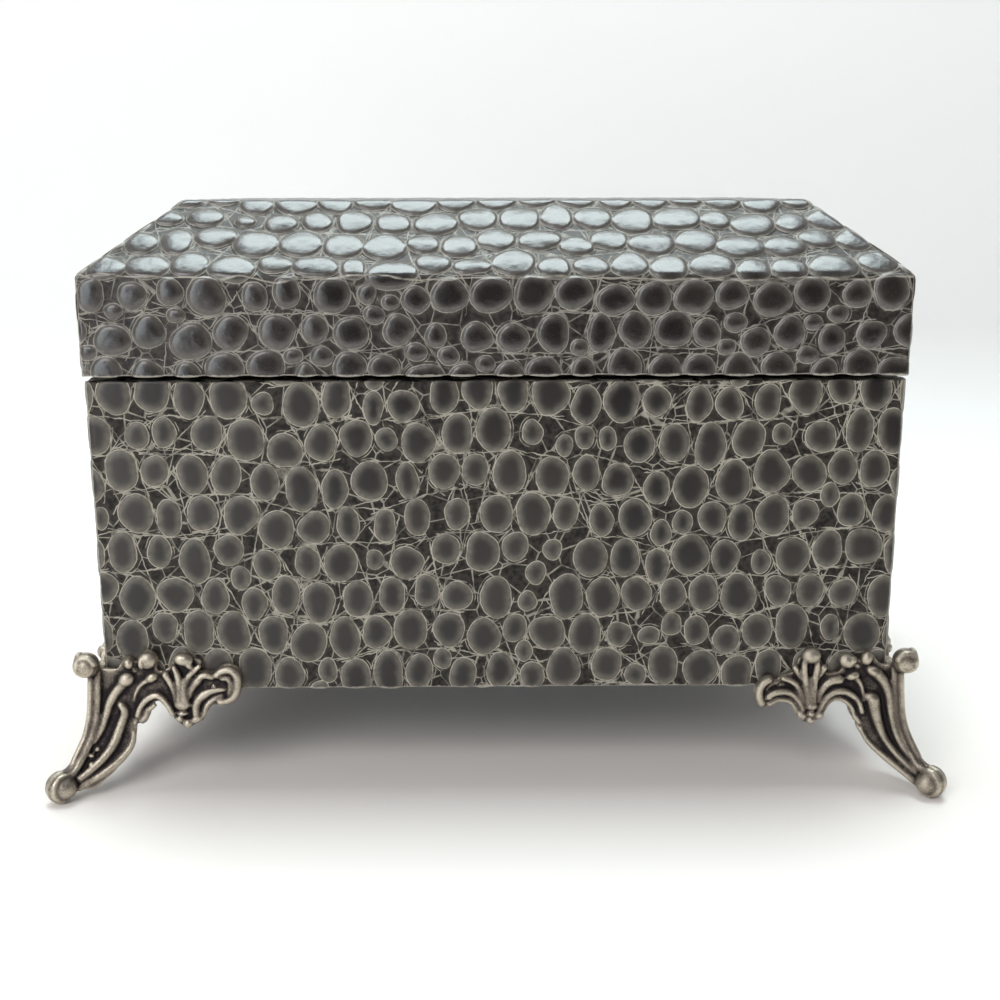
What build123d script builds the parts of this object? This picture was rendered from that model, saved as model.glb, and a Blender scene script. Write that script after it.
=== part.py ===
from build123d import *
import math
import os

# Jewelry chest: a leather-covered wooden box with a hipped, hinged lid, four cast corner feet,
# a velvet lining and a lift-out tray. Millimetres, +Z up, front towards -Y.
# The origin is on the floor, below the centre of the box.

# Driving dimensions of the box
chest_width = 254.0
chest_depth = 178.0
foot_drop = 33.0
base_height = 100.6
seam_gap = 1.0
lid_rim_height = 30.9
hip_rise = 22.1
hip_inset = 28.0
lid_overhang = 0.8
wall = 9.0
bottom_thickness = 6.0
leather = 1.2
corner_radius = 2.8
rim_rounding = 1.0
shoulder_rounding = 3.0
crown_rounding = 3.0
turn_under = 12.0
felt_thickness = 1.0
felt_gap = 0.3

# Linings, mirror and pads
base_lining = 2.0
lid_lining = 1.2
lining_drop = 1.2
pad_thickness = 3.0
pad_gap = 0.4
pad_rounding = 1.2
mirror_frame_thickness = 3.0
mirror_frame_border = 14.0
mirror_frame_gap = 1.0
mirror_lip = 3.0
mirror_lip_thickness = 0.8
mirror_thickness = 2.0
mirror_gap = 0.1

# Lift-out tray
tray_clearance = 1.5
tray_height = 26.0
tray_drop = 1.6
tray_wall = 4.0
tray_floor = 2.5
tray_pad = 1.2
tray_divider = 3.0
tray_divider_drop = 2.0
tray_gap = 0.3
ledge_width = 5.0
ledge_height = 8.0
ring_bay_width = 82.0
ring_roll_count = 8
ring_roll_gap = 0.5
ring_roll_end_gap = 1.2
ring_roll_height = 19.0
ring_roll_rounding = 7.0
long_bay_depth = 46.0
small_bay_count = 3
tab_width = 14.0
tab_thickness = 0.8
tab_rise = 3.0
tab_hang = 12.0

# Stop hinges
hinge_spacing = 150.0
hinge_width = 28.0
leaf_thickness = 4.0
leaf_reach = 8.0
pin_offset = 3.0
pin_radius = 1.25
pin_clearance = 0.05
pin_head = 0.8
barrel_radius = 2.5
barrel_relief = 0.25
centre_knuckle = 12.0
knuckle_gap = 0.2
lid_stop_angle = 95.0
stop_slack = 0.6
leaf_fit = 0.1
screw_spacing = 18.0
screw_shank_radius = 1.0
screw_head_radius = 2.1
screw_length = 12.0
screw_point = 2.0
screw_fit = 0.05
screw_slot_width = 0.6
screw_slot_depth = 0.7
screw_inset = 4.4

# Cast feet
wing_plate = 1.8
ball_radius = 4.9
ball_out = 5.6
ball_height = 10.2
toe_radius = 5.2
toe_out = 16.8
toe_half_width = 5.6
toe_rounding = 2.4
toe_flat = 0.4
leg_thickness = 4.0
shelf_thickness = 2.4
shelf_reach = 34.0
shelf_edge = 1.0
foot_screw_inset = 14.0
foot_screw_length = 8.0
pin_nail_radius = 0.6
pin_nail_length = 8.0
pin_nail_head_radius = 1.1
pin_nail_head_height = 0.9

# Places worked out from the sizes above
half_width = chest_width / 2
half_depth = chest_depth / 2
z_bottom = foot_drop
z_rim = z_bottom + base_height
z_seam = z_rim + seam_gap / 2
z_lid = z_rim + seam_gap
z_hip = z_lid + lid_rim_height
z_top = z_hip + hip_rise
hip_angle = math.atan2(hip_rise, hip_inset)
lid_half_width = half_width + lid_overhang
lid_half_depth = half_depth + lid_overhang
wood_half_width = half_width - leather
wood_half_depth = half_depth - leather
room_half_width = wood_half_width - wall
room_half_depth = wood_half_depth - wall
lined_half_width = room_half_width - base_lining
lined_half_depth = room_half_depth - base_lining
z_board = z_bottom + leather
z_floor = z_board + bottom_thickness
lid_wood = leather
lid_room = leather + wall
lid_lined = lid_room + lid_lining
tray_half_width = lined_half_width - tray_clearance
tray_half_depth = lined_half_depth - tray_clearance
z_tray_top = z_rim - tray_drop
z_tray = z_tray_top - tray_height
hinge_y = lid_half_depth + pin_offset
screw_y = half_depth - screw_inset
wood_corner = corner_radius - leather

sides = ("front", "back", "left", "right")


def side_plan(side, half_x, half_y, thickness):
    """Corners of one mitred board of a rectangular frame, seen from above."""
    in_x, in_y = half_x - thickness, half_y - thickness
    if side in ("front", "back"):
        s = -1 if side == "front" else 1
        return [(-half_x, s * half_y), (half_x, s * half_y), (in_x, s * in_y), (-in_x, s * in_y)]
    s = -1 if side == "left" else 1
    return [(s * half_x, -half_y), (s * half_x, half_y), (s * in_x, in_y), (s * in_x, -in_y)]


def frame_board(side, half_x, half_y, thickness, low, high):
    """One mitred upright board of a rectangular frame."""
    with BuildPart() as board:
        with BuildSketch(Plane.XY.offset(low)):
            Polygon(*side_plan(side, half_x, half_y, thickness), align=None)
        extrude(amount=high - low)
    return board.part


def block(half_x, half_y, low, high, radius=0.0):
    """A block about the Z axis, with rounded upright edges where a radius is given."""
    with BuildPart() as made:
        with BuildSketch(Plane.XY.offset(low)):
            if radius > 0:
                RectangleRounded(2 * half_x, 2 * half_y, radius)
            else:
                Rectangle(2 * half_x, 2 * half_y)
        extrude(amount=high - low)
    return made.part


def lid_corners(inward):
    """Where the lid's form, taken in by a thickness, starts its slope and reaches its flat top."""
    slope_start = z_hip + inward * (math.sin(hip_angle) - 1) / math.cos(hip_angle)
    flat_top = z_top - inward
    top_inset = (inward + math.cos(hip_angle) * (flat_top - z_hip)) / math.sin(hip_angle)
    return slope_start, flat_top, top_inset


def lid_form(inward, low, radius=0.0):
    """The lid's outer shape taken in by a thickness on every face, from a height upwards."""
    slope_start, flat_top, top_inset = lid_corners(inward)
    rim = (2 * (lid_half_width - inward), 2 * (lid_half_depth - inward))
    top = (2 * (lid_half_width - top_inset), 2 * (lid_half_depth - top_inset))
    with BuildPart() as form:
        for height, plan in ((low, rim), (slope_start, rim), (flat_top, top)):
            with BuildSketch(Plane.XY.offset(height)):
                if radius > 0:
                    RectangleRounded(*plan, radius)
                else:
                    Rectangle(*plan)
            if height == low:
                extrude(amount=slope_start - low)
        loft(ruled=True)
    return form.part


def save(part, name):
    """Labels a finished piece and writes its file."""
    part.label = name
    export_step(part, os.path.join("parts", name + ".step"))


os.makedirs("parts", exist_ok=True)


# Hinges. Both leaves are let into the edge of their board and end behind the pin in a bevel;
# the bevels meet when the lid stands open, so the lid needs no stay.
leaf_gap = seam_gap / 2
bevel_angle = math.radians((lid_stop_angle + stop_slack) / 2)
leaf_front = hinge_y - (half_depth - leaf_reach)
hinge_places = {"left": -hinge_spacing / 2, "right": hinge_spacing / 2}
half_hinge = hinge_width / 2
half_centre = centre_knuckle / 2


def hinge_plane(x):
    """Section plane across a hinge pin: local x runs backwards, local y upwards."""
    return Plane(origin=(x, hinge_y, z_seam), x_dir=(0, 1, 0), z_dir=(1, 0, 0))


def bevel_reach(height):
    """How far behind the pin a leaf's bevel lies at a height above the seam's middle."""
    return height / math.tan(bevel_angle)


def leaf(x, up):
    """One leaf with its knuckles: the lid's with up = 1, the base's with up = -1."""
    far = leaf_gap + leaf_thickness
    outline = [
        (-leaf_front, up * leaf_gap),
        (bevel_reach(leaf_gap), up * leaf_gap),
        (bevel_reach(far), up * far),
        (-leaf_front, up * far),
    ]
    centre = [(-half_centre, half_centre)]
    centre_room = [(-half_centre - knuckle_gap, half_centre + knuckle_gap)]
    ends = [(-half_hinge, -half_centre - knuckle_gap), (half_centre + knuckle_gap, half_hinge)]
    ends_room = [(-half_hinge - knuckle_gap, -half_centre), (half_centre, half_hinge + knuckle_gap)]
    own, other = (centre, ends_room) if up > 0 else (ends, centre_room)
    with BuildPart() as made:
        with BuildSketch(hinge_plane(x)):
            Polygon(*outline, align=None)
        extrude(amount=half_hinge, both=True)
        for low, high in other:
            with BuildSketch(hinge_plane(x + low)):
                Circle(barrel_radius + barrel_relief)
            extrude(amount=high - low, mode=Mode.SUBTRACT)
        for low, high in own:
            with BuildSketch(hinge_plane(x + low)):
                Circle(barrel_radius)
            extrude(amount=high - low)
        with BuildSketch(hinge_plane(x - half_hinge)):
            Circle(pin_radius + pin_clearance)
        extrude(amount=hinge_width, mode=Mode.SUBTRACT)
        with Locations(Plane(origin=(x, screw_y, z_seam + up * leaf_gap), z_dir=(0, 0, -up))):
            with GridLocations(screw_spacing, 1, 2, 1):
                CounterSinkHole(
                    radius=screw_shank_radius + screw_fit,
                    counter_sink_radius=screw_head_radius + screw_fit,
                    depth=leaf_thickness,
                )
    return made.part


def leaf_pockets(up):
    """The spaces that the leaves need in a board's edge and in the leather over it."""
    low = z_rim - leaf_thickness - leaf_fit if up < 0 else z_lid
    reach = leaf_front + leaf_fit
    with BuildPart() as pockets:
        with BuildSketch(Plane.XY.offset(low)):
            for x in hinge_places.values():
                with Locations((x, hinge_y - reach / 2)):
                    Rectangle(hinge_width + 2 * leaf_fit, reach)
        extrude(amount=leaf_thickness + leaf_fit)
    return pockets.part


def hinge_screw_places():
    """Where the screws of the leaves stand along the back."""
    return [x + step * screw_spacing / 2 for x in hinge_places.values() for step in (-1, 1)]


def screw(x, y, z, way, length):
    """A slotted, countersunk wood screw with its head face at z, driven up (way 1) or down (-1)."""
    head_depth = screw_head_radius - screw_shank_radius
    with BuildPart() as made:
        with BuildSketch(Plane(origin=(x, y, z), x_dir=(1, 0, 0), z_dir=(0, -1, 0))):
            Polygon(
                (0, 0),
                (screw_head_radius, 0),
                (screw_shank_radius, way * head_depth),
                (screw_shank_radius, way * (length - screw_point)),
                (0, way * length),
                align=None,
            )
        revolve(axis=Axis((x, y, z), (0, 0, 1)))
        with BuildSketch(Plane(origin=(x, y, z), z_dir=(0, 0, way))):
            Rectangle(2 * screw_head_radius + 1, screw_slot_width)
        extrude(amount=screw_slot_depth, mode=Mode.SUBTRACT)
    return made.part


def pilot_holes(up):
    """Holes in the boards and the leather for the screws of the leaves."""
    start = z_seam + up * leaf_gap
    with BuildPart() as holes:
        with BuildSketch(Plane.XY.offset(start)):
            for x in hinge_screw_places():
                with Locations((x, screw_y)):
                    Circle(screw_shank_radius + screw_fit)
        extrude(amount=up * screw_length)
    return holes.part


for name, x in hinge_places.items():
    save(leaf(x, -1), "hinge_base_leaf_" + name)
    save(leaf(x, 1), "hinge_lid_leaf_" + name)
    with BuildPart() as hinge_pin:
        with BuildSketch(hinge_plane(x - half_hinge - pin_head)):
            Circle(pin_radius + pin_head)
        extrude(amount=pin_head)
        with BuildSketch(hinge_plane(x - half_hinge)):
            Circle(pin_radius)
        extrude(amount=hinge_width)
        with BuildSketch(hinge_plane(x + half_hinge)):
            Circle(pin_radius + pin_head)
        extrude(amount=pin_head)
    save(hinge_pin.part, "hinge_pin_" + name)

for name, up in (("hinge_base_screws", -1), ("hinge_lid_screws", 1)):
    with BuildPart() as hinge_screws:
        for x in hinge_screw_places():
            add(screw(x, screw_y, z_seam + up * leaf_gap, up, screw_length))
    save(hinge_screws.part, name)

# Cast corner feet. The front right one is modelled and mirrored to the other corners. On a wing,
# distances run inboard from the corner and heights are measured up from the bottom of the box.
corner = Vector(half_width, -half_depth, z_bottom)
outward = Vector(1, -1, 0).normalized()
lateral = Vector(1, 1, 0).normalized()
side_face = Plane(origin=corner, x_dir=(0, 1, 0), z_dir=(1, 0, 0))
mirror_plane = Plane(origin=corner, x_dir=outward, z_dir=lateral)
toe_height = toe_radius - toe_flat - foot_drop

# Outline of the leaf wing, and the lobes between its cusps
wing_outline = [
    (0.0, 11.5),
    (8.0, 14.0),
    (14.6, 14.4),
    (19.5, 9.0),
    (23.0, 11.0),
    (26.4, 14.8),
    (29.8, 11.0),
    (33.0, 8.0),
    (40.0, 8.6),
    (44.5, 3.0),
    (43.0, -4.0),
    (34.5, -4.8),
    (30.0, -9.5),
    (25.0, -12.2),
    (21.5, -9.0),
    (16.3, -4.8),
    (11.5, -8.5),
    (9.0, -12.0),
]
wing_cusps = (0, 3, 7, 11, 15, 17)

# Raised leaves of the wing: a path and the leaf's half widths at its inner points
wing_leaves = [
    ([(25.6, -6.0), (21.0, -2.6), (15.5, -2.4), (11.0, -6.0), (9.6, -11.0)], (1.7, 2.0, 1.6)),
    ([(26.0, -5.0), (22.4, -0.6), (20.2, 4.0), (19.4, 8.2)], (1.8, 1.7)),
    ([(26.8, -5.0), (30.4, 1.4), (34.6, 5.6), (39.6, 6.0), (42.0, 1.6), (39.6, -1.8)], (1.7, 2.0, 1.9, 1.7)),
    ([(26.8, -7.6), (31.0, -4.4), (35.4, -2.6), (39.0, -2.8)], (1.8, 1.6)),
    ([(26.2, -7.0), (26.2, -1.0), (26.2, 5.0), (26.4, 10.6), (26.4, 14.2)], (2.0, 1.8, 2.9)),
]
leaf_relief = ((1.0, 2.7), (0.45, 3.5))
wing_knobs = [(8.3, 11.0, 2.4), (14.4, 11.0, 2.7), (6.2, 4.8, 2.5), (13.4, 4.6, 2.4), (25.2, -8.8, 2.4)]
knob_out = 4.1
pin_nails = [(10.7, 7.8), (35.8, 1.8)]

# Leg sections: height, how far out its ridge and its flanks' ends stand, and the flanks' reach inboard
leg_sections = [
    (12.0, 3.0, 2.6, 4.0),
    (0.0, 3.6, 2.4, 9.0),
    (-8.0, 4.4, 2.6, 10.5),
    (-14.0, 5.8, 3.4, 10.5),
    (-20.0, 8.6, 5.2, 7.5),
    (-25.0, 11.6, 8.0, 3.5),
    (-29.5, 13.6, 10.6, -2.0),
]
leg_ribs = ((0.2, -0.6), (0.38, 0.8), (0.56, -0.7), (0.78, 0.8), (1.0, -0.4))


def on_wing(along, height, out=0.0):
    """A point on the side wing: inboard from the corner, up, and out from the face."""
    return corner + Vector(out, along, height)


def on_diagonal(out, height, across=0.0):
    """A point on the foot's diagonal: out from the corner, up, and across."""
    return corner + outward * out + lateral * across + Vector(0, 0, height)


def leaf_face(points, widths):
    """A flat leaf: half widths are set off on both sides of a path, and its ends are points."""
    start, end = Vector(*points[0]), Vector(*points[-1])
    left, right = [], []
    for before, here, after, width in zip(points, points[1:], points[2:], widths):
        way = (Vector(*after) - Vector(*before)).normalized()
        side = Vector(-way.Y, way.X) * width
        left.append(Vector(*here) + side)
        right.append(Vector(*here) - side)
    with BuildSketch() as made:
        with BuildLine():
            Spline(start, *left, end)
            Spline(start, *right, end)
        make_face()
    return made.sketch


def knob(along, height, radius):
    """A domed knob of the wing, cast on from the face of the box."""
    with BuildPart() as made:
        with BuildSketch(Plane(origin=on_wing(along, height), x_dir=(1, 0, 0), z_dir=(0, 0, 1))):
            Polygon(
                (0, 0),
                (knob_out, 0),
                (knob_out - 0.2 * radius, 0.5 * radius),
                (knob_out - 0.7 * radius, radius),
                (0, radius),
                align=None,
            )
        revolve(axis=Axis(on_wing(along, height), (1, 0, 0)))
    return made.part


def leg_outline(ridge, out, reach):
    """Section of the leg from above: a ridge on the diagonal and two ribbed flanks."""
    flank = [
        (ridge + share * (out - ridge) + rise, -ridge + share * (reach + ridge))
        for share, rise in leg_ribs
    ]
    side = [*flank, (out - leg_thickness, reach)]
    other = [(-along, -away) for away, along in reversed(side)]
    return [(ridge, -ridge), *side, *other]


def at_corners(part):
    """Copies of a piece of the front right corner at all four corners, by name."""
    with BuildPart() as front_left:
        mirror(part, about=Plane.YZ)
    with BuildPart() as rear_right:
        mirror(part, about=Plane.XZ)
    with BuildPart() as rear_left:
        mirror(rear_right.part, about=Plane.YZ)
    return {
        "front_right": part,
        "front_left": front_left.part,
        "rear_right": rear_right.part,
        "rear_left": rear_left.part,
    }


with BuildPart() as wing:
    with BuildSketch(side_face):
        with BuildLine():
            for first, last in zip(wing_cusps, wing_cusps[1:]):
                Spline(*wing_outline[first:last + 1])
            Polyline(wing_outline[-1], (0.0, wing_outline[-1][1]), wing_outline[0])
        make_face()
    extrude(amount=wing_plate)
    for share, out in leaf_relief:
        with BuildSketch(side_face):
            for points, widths in wing_leaves:
                add(leaf_face(points, [share * width for width in widths]))
        extrude(amount=out)
    add([knob(*place) for place in wing_knobs])
    with BuildSketch(side_face):
        with Locations(*pin_nails):
            Circle(pin_nail_radius + screw_fit)
    extrude(amount=wing_plate, mode=Mode.SUBTRACT)

with BuildPart() as toe:
    with BuildSketch(Plane(origin=on_diagonal(toe_out, toe_height, -toe_half_width), z_dir=lateral)):
        Circle(toe_radius)
    extrude(amount=2 * toe_half_width)
    fillet(toe.edges().filter_by(GeomType.CIRCLE), toe_rounding)

with BuildPart() as foot:
    for height, ridge, out, reach in leg_sections:
        with BuildSketch(Plane.XY.offset(z_bottom + height)):
            with Locations((half_width, -half_depth)):
                Polygon(*leg_outline(ridge, out, reach), align=None)
    loft()
    add(toe.part)
    with Locations(on_diagonal(ball_out, ball_height)):
        Sphere(ball_radius)
    with BuildSketch(Plane.XY.offset(z_bottom - shelf_thickness)):
        with Locations((half_width, -half_depth)):
            Polygon(
                (shelf_edge, -shelf_edge),
                (shelf_edge, shelf_reach),
                (-shelf_reach, -shelf_edge),
                align=None,
            )
    extrude(amount=shelf_thickness)
    add(wing.part)
    add(mirror(wing.part, about=mirror_plane, mode=Mode.PRIVATE))
    with BuildSketch(Plane.XY.offset(z_bottom)):
        Rectangle(chest_width, chest_depth)
    extrude(amount=base_height, mode=Mode.SUBTRACT)
    with BuildSketch(Plane.XY):
        with Locations((half_width, -half_depth)):
            Rectangle(chest_width, chest_depth)
    extrude(amount=-foot_drop, mode=Mode.SUBTRACT)
    screw_seat = corner + Vector(-foot_screw_inset, foot_screw_inset, -shelf_thickness)
    with Locations(Plane(origin=screw_seat, z_dir=(0, 0, -1))):
        CounterSinkHole(
            radius=screw_shank_radius + screw_fit,
            counter_sink_radius=screw_head_radius + screw_fit,
            depth=shelf_thickness,
        )
for name, made in at_corners(foot.part).items():
    save(made, "foot_" + name)


def pin_nail(along, height):
    """A domed pin that holds the side wing to its board."""
    with BuildPart() as made:
        with BuildSketch(Plane(origin=on_wing(along, height, wing_plate), x_dir=(1, 0, 0), z_dir=(0, 0, 1))):
            Polygon(
                (pin_nail_head_height, 0),
                (pin_nail_head_height, 0.4 * pin_nail_head_radius),
                (0.6 * pin_nail_head_height, 0.8 * pin_nail_head_radius),
                (0, pin_nail_head_radius),
                (0, pin_nail_radius),
                (-pin_nail_length + 2 * pin_nail_radius, pin_nail_radius),
                (-pin_nail_length, 0),
                align=None,
            )
        revolve(axis=Axis(on_wing(along, height, wing_plate), (1, 0, 0)))
    return made.part


with BuildPart() as corner_nails:
    add([pin_nail(*place) for place in pin_nails])
    add(mirror(corner_nails.part, about=mirror_plane, mode=Mode.PRIVATE))
with BuildPart() as foot_nails:
    add([solid for made in at_corners(corner_nails.part).values() for solid in made.solids()])
save(foot_nails.part, "foot_nails")

with BuildPart() as foot_screws:
    for x in (-half_width + foot_screw_inset, half_width - foot_screw_inset):
        for y in (-half_depth + foot_screw_inset, half_depth - foot_screw_inset):
            add(screw(x, y, z_bottom - shelf_thickness, 1, foot_screw_length))
save(foot_screws.part, "foot_screws")


def nail_holes():
    """Holes in the boards and the leather for the pins of all wings."""
    with BuildPart() as one:
        with BuildSketch(side_face):
            with Locations(*pin_nails):
                Circle(pin_nail_radius + screw_fit)
        extrude(amount=wing_plate - pin_nail_length)
        add(mirror(one.part, about=mirror_plane, mode=Mode.PRIVATE))
    with BuildPart() as holes:
        add([solid for made in at_corners(one.part).values() for solid in made.solids()])
    return holes.part


def foot_screw_holes():
    """Holes in the bottom board, the felt and the leather for the screws of the feet."""
    with BuildPart() as holes:
        with BuildSketch(Plane.XY.offset(z_bottom)):
            for x in (-half_width + foot_screw_inset, half_width - foot_screw_inset):
                for y in (-half_depth + foot_screw_inset, half_depth - foot_screw_inset):
                    with Locations((x, y)):
                        Circle(screw_shank_radius + screw_fit)
        extrude(amount=foot_screw_length - shelf_thickness)
    return holes.part


# Base: four mitred boards round a bottom board, leather outside, velvet inside
base_wood = block(wood_half_width, wood_half_depth, z_board, z_rim - leather, wood_corner)
for side in sides:
    with BuildPart() as base_panel:
        add(frame_board(side, wood_half_width, wood_half_depth, wall, z_board, z_rim - leather))
        add(base_wood, mode=Mode.INTERSECT)
        add(nail_holes(), mode=Mode.SUBTRACT)
        if side == "back":
            add(leaf_pockets(-1), mode=Mode.SUBTRACT)
            add(pilot_holes(-1), mode=Mode.SUBTRACT)
    save(base_panel.part, "base_panel_" + side)
    lining = frame_board(side, room_half_width, room_half_depth, base_lining, z_floor, z_rim - lining_drop)
    save(lining, "base_lining_" + side)

with BuildPart() as base_bottom:
    add(block(room_half_width, room_half_depth, z_board, z_floor))
    add(foot_screw_holes(), mode=Mode.SUBTRACT)
save(base_bottom.part, "base_bottom")

with BuildPart() as base_leather:
    add(block(half_width, half_depth, z_bottom, z_rim, corner_radius))
    edges = base_leather.edges().group_by(Axis.Z)
    fillet(edges[0] + edges[-1], rim_rounding)
    add(base_wood, mode=Mode.SUBTRACT)
    add(block(room_half_width, room_half_depth, z_floor, z_rim), mode=Mode.SUBTRACT)
    add(block(half_width - turn_under, half_depth - turn_under, z_bottom, z_board), mode=Mode.SUBTRACT)
    add(nail_holes(), mode=Mode.SUBTRACT)
    add(leaf_pockets(-1), mode=Mode.SUBTRACT)
save(base_leather.part, "base_leather")

felt_half_width = half_width - turn_under - felt_gap
felt_half_depth = half_depth - turn_under - felt_gap
with BuildPart() as base_felt:
    add(block(felt_half_width, felt_half_depth, z_board - felt_thickness, z_board))
    add(foot_screw_holes(), mode=Mode.SUBTRACT)
save(base_felt.part, "base_felt")

with BuildPart() as base_pad:
    add(block(lined_half_width - pad_gap, lined_half_depth - pad_gap, z_floor, z_floor + pad_thickness))
    fillet(base_pad.edges().group_by(Axis.Z)[-1], pad_rounding)
save(base_pad.part, "base_floor_pad")

for name, way in (("left", -1), ("right", 1)):
    with BuildPart() as ledge:
        with BuildSketch(Plane.XY.offset(z_tray - ledge_height)):
            with Locations((way * (lined_half_width - ledge_width / 2), 0)):
                Rectangle(ledge_width, 2 * lined_half_depth)
        extrude(amount=ledge_height)
    save(ledge.part, "tray_ledge_" + name)

# Lid: rim boards and sloped boards round a top board, leather outside, velvet inside
slope_start, wood_top, wood_top_inset = lid_corners(lid_wood)
room_slope_start, room_top, room_top_inset = lid_corners(lid_room)
lined_slope_start, lined_top, lined_top_inset = lid_corners(lid_lined)
top_half_width = lid_half_width - wood_top_inset
top_half_depth = lid_half_depth - wood_top_inset
frame_half_width = lid_half_width - lined_top_inset - mirror_frame_gap
frame_half_depth = lid_half_depth - lined_top_inset - mirror_frame_gap
top_board = block(top_half_width, top_half_depth, room_top, wood_top, wood_corner)
lid_wood_low = z_lid + leather
mitre_depth = lid_half_depth - 1

with BuildPart() as lid_shell:
    add(lid_form(lid_wood, lid_wood_low, wood_corner))
    add(lid_form(lid_room, lid_wood_low), mode=Mode.SUBTRACT)
    add(top_board, mode=Mode.SUBTRACT)
    add(leaf_pockets(1), mode=Mode.SUBTRACT)
    add(pilot_holes(1), mode=Mode.SUBTRACT)

with BuildPart() as lining_shell:
    add(lid_form(lid_room, z_lid + lining_drop))
    add(lid_form(lid_lined, z_lid + lining_drop), mode=Mode.SUBTRACT)
    frame_room = block(
        frame_half_width + mirror_gap, frame_half_depth + mirror_gap, z_hip, z_top
    )
    add(frame_room, mode=Mode.SUBTRACT)

for side in sides:
    for name, shell, low, high in (
        ("lid_rail_", lid_shell.part, lid_wood_low, room_slope_start),
        ("lid_slope_", lid_shell.part, room_slope_start, z_top),
        ("lid_lining_", lining_shell.part, z_lid, z_top),
    ):
        with BuildPart() as board:
            add(shell)
            wedge = frame_board(side, lid_half_width, lid_half_depth, mitre_depth, low, high)
            add(wedge, mode=Mode.INTERSECT)
        save(board.part, name + side)
save(top_board, "lid_top")

with BuildPart() as lid_leather:
    add(lid_form(0, z_lid, corner_radius))
    fillet(lid_leather.edges().group_by(Axis.Z)[0], rim_rounding)
    for height, rounding in ((z_hip, shoulder_rounding), (z_top, crown_rounding)):
        ring = lid_leather.edges().filter_by_position(Axis.Z, height - 0.01, height + 0.01)
        fillet(ring, rounding)
    add(lid_form(lid_wood, lid_wood_low, wood_corner), mode=Mode.SUBTRACT)
    add(block(lid_half_width - lid_room, lid_half_depth - lid_room, z_lid, lid_wood_low), mode=Mode.SUBTRACT)
    add(leaf_pockets(1), mode=Mode.SUBTRACT)
save(lid_leather.part, "lid_leather")

glass_half_width = frame_half_width - mirror_frame_border + mirror_lip
glass_half_depth = frame_half_depth - mirror_frame_border + mirror_lip
frame_low = room_top - mirror_frame_thickness
with BuildPart() as mirror_frame:
    add(block(frame_half_width, frame_half_depth, frame_low, room_top))
    window = block(
        frame_half_width - mirror_frame_border,
        frame_half_depth - mirror_frame_border,
        frame_low,
        room_top,
    )
    add(window, mode=Mode.SUBTRACT)
    seat = block(
        glass_half_width + mirror_gap,
        glass_half_depth + mirror_gap,
        frame_low + mirror_lip_thickness,
        room_top,
    )
    add(seat, mode=Mode.SUBTRACT)
save(mirror_frame.part, "lid_mirror_frame")
glass_low = frame_low + mirror_lip_thickness
save(block(glass_half_width, glass_half_depth, glass_low, glass_low + mirror_thickness), "lid_mirror")

# Lift-out tray
for side in sides:
    board = frame_board(side, tray_half_width, tray_half_depth, tray_wall, z_tray, z_tray_top)
    save(board, "tray_wall_" + side)
bay_half_width = tray_half_width - tray_wall
bay_half_depth = tray_half_depth - tray_wall
z_tray_floor = z_tray + tray_floor
divider_top = z_tray_top - tray_divider_drop
save(block(bay_half_width, bay_half_depth, z_tray, z_tray_floor), "tray_bottom")

ring_bay_end = -bay_half_width + ring_bay_width
small_start_x = ring_bay_end + tray_divider
long_bay_end = -bay_half_depth + long_bay_depth
small_start_y = long_bay_end + tray_divider
small_width = (bay_half_width - small_start_x - (small_bay_count - 1) * tray_divider) / small_bay_count


def tray_box(x_low, x_high, y_low, y_high, low, high):
    """A block between two corners, for dividers and pads of the tray."""
    with BuildPart() as made:
        with BuildSketch(Plane.XY.offset(low)):
            with Locations(((x_low + x_high) / 2, (y_low + y_high) / 2)):
                Rectangle(x_high - x_low, y_high - y_low)
        extrude(amount=high - low)
    return made.part


ring_divider = tray_box(
    ring_bay_end, small_start_x, -bay_half_depth, bay_half_depth, z_tray_floor, divider_top
)
save(ring_divider, "tray_divider_ring")
long_divider = tray_box(
    small_start_x, bay_half_width, long_bay_end, small_start_y, z_tray_floor, divider_top
)
save(long_divider, "tray_divider_long")
small_starts = [small_start_x + i * (small_width + tray_divider) for i in range(small_bay_count)]
for i, start in enumerate(small_starts[1:], 1):
    divider = tray_box(start - tray_divider, start, small_start_y, bay_half_depth, z_tray_floor, divider_top)
    save(divider, "tray_divider_small_" + str(i))

with BuildPart() as tray_pads:
    long_pad = tray_box(
        small_start_x + tray_gap,
        bay_half_width - tray_gap,
        -bay_half_depth + tray_gap,
        long_bay_end - tray_gap,
        z_tray_floor,
        z_tray_floor + tray_pad,
    )
    add(long_pad)
    for start in small_starts:
        small_pad = tray_box(
            start + tray_gap,
            start + small_width - tray_gap,
            small_start_y + tray_gap,
            bay_half_depth - tray_gap,
            z_tray_floor,
            z_tray_floor + tray_pad,
        )
        add(small_pad)
save(tray_pads.part, "tray_pads")

roll_pitch = 2 * bay_half_depth / ring_roll_count
roll_length = ring_bay_width - 2 * ring_roll_end_gap
with BuildPart() as ring_rolls:
    start_x = -bay_half_width + ring_roll_end_gap
    with BuildSketch(Plane(origin=(start_x, 0, z_tray_floor), x_dir=(0, 1, 0), z_dir=(1, 0, 0))):
        with GridLocations(roll_pitch, 0, ring_roll_count, 1):
            Rectangle(roll_pitch - ring_roll_gap, ring_roll_height, align=(Align.CENTER, Align.MIN))
    extrude(amount=roll_length)
    tops = ring_rolls.edges().filter_by(Axis.X).group_by(Axis.Z)[-1]
    fillet(tops, ring_roll_rounding)
save(ring_rolls.part, "tray_ring_rolls")

for name, way in (("left", -1), ("right", 1)):
    with BuildPart() as tab:
        with BuildSketch(Plane.XY.offset(z_tray_top - tab_hang)):
            with Locations((way * (bay_half_width - tab_thickness / 2), 0)):
                Rectangle(tab_thickness, tab_width)
        extrude(amount=tab_hang + tab_rise)
    save(tab.part, "tray_tab_" + name)
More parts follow.
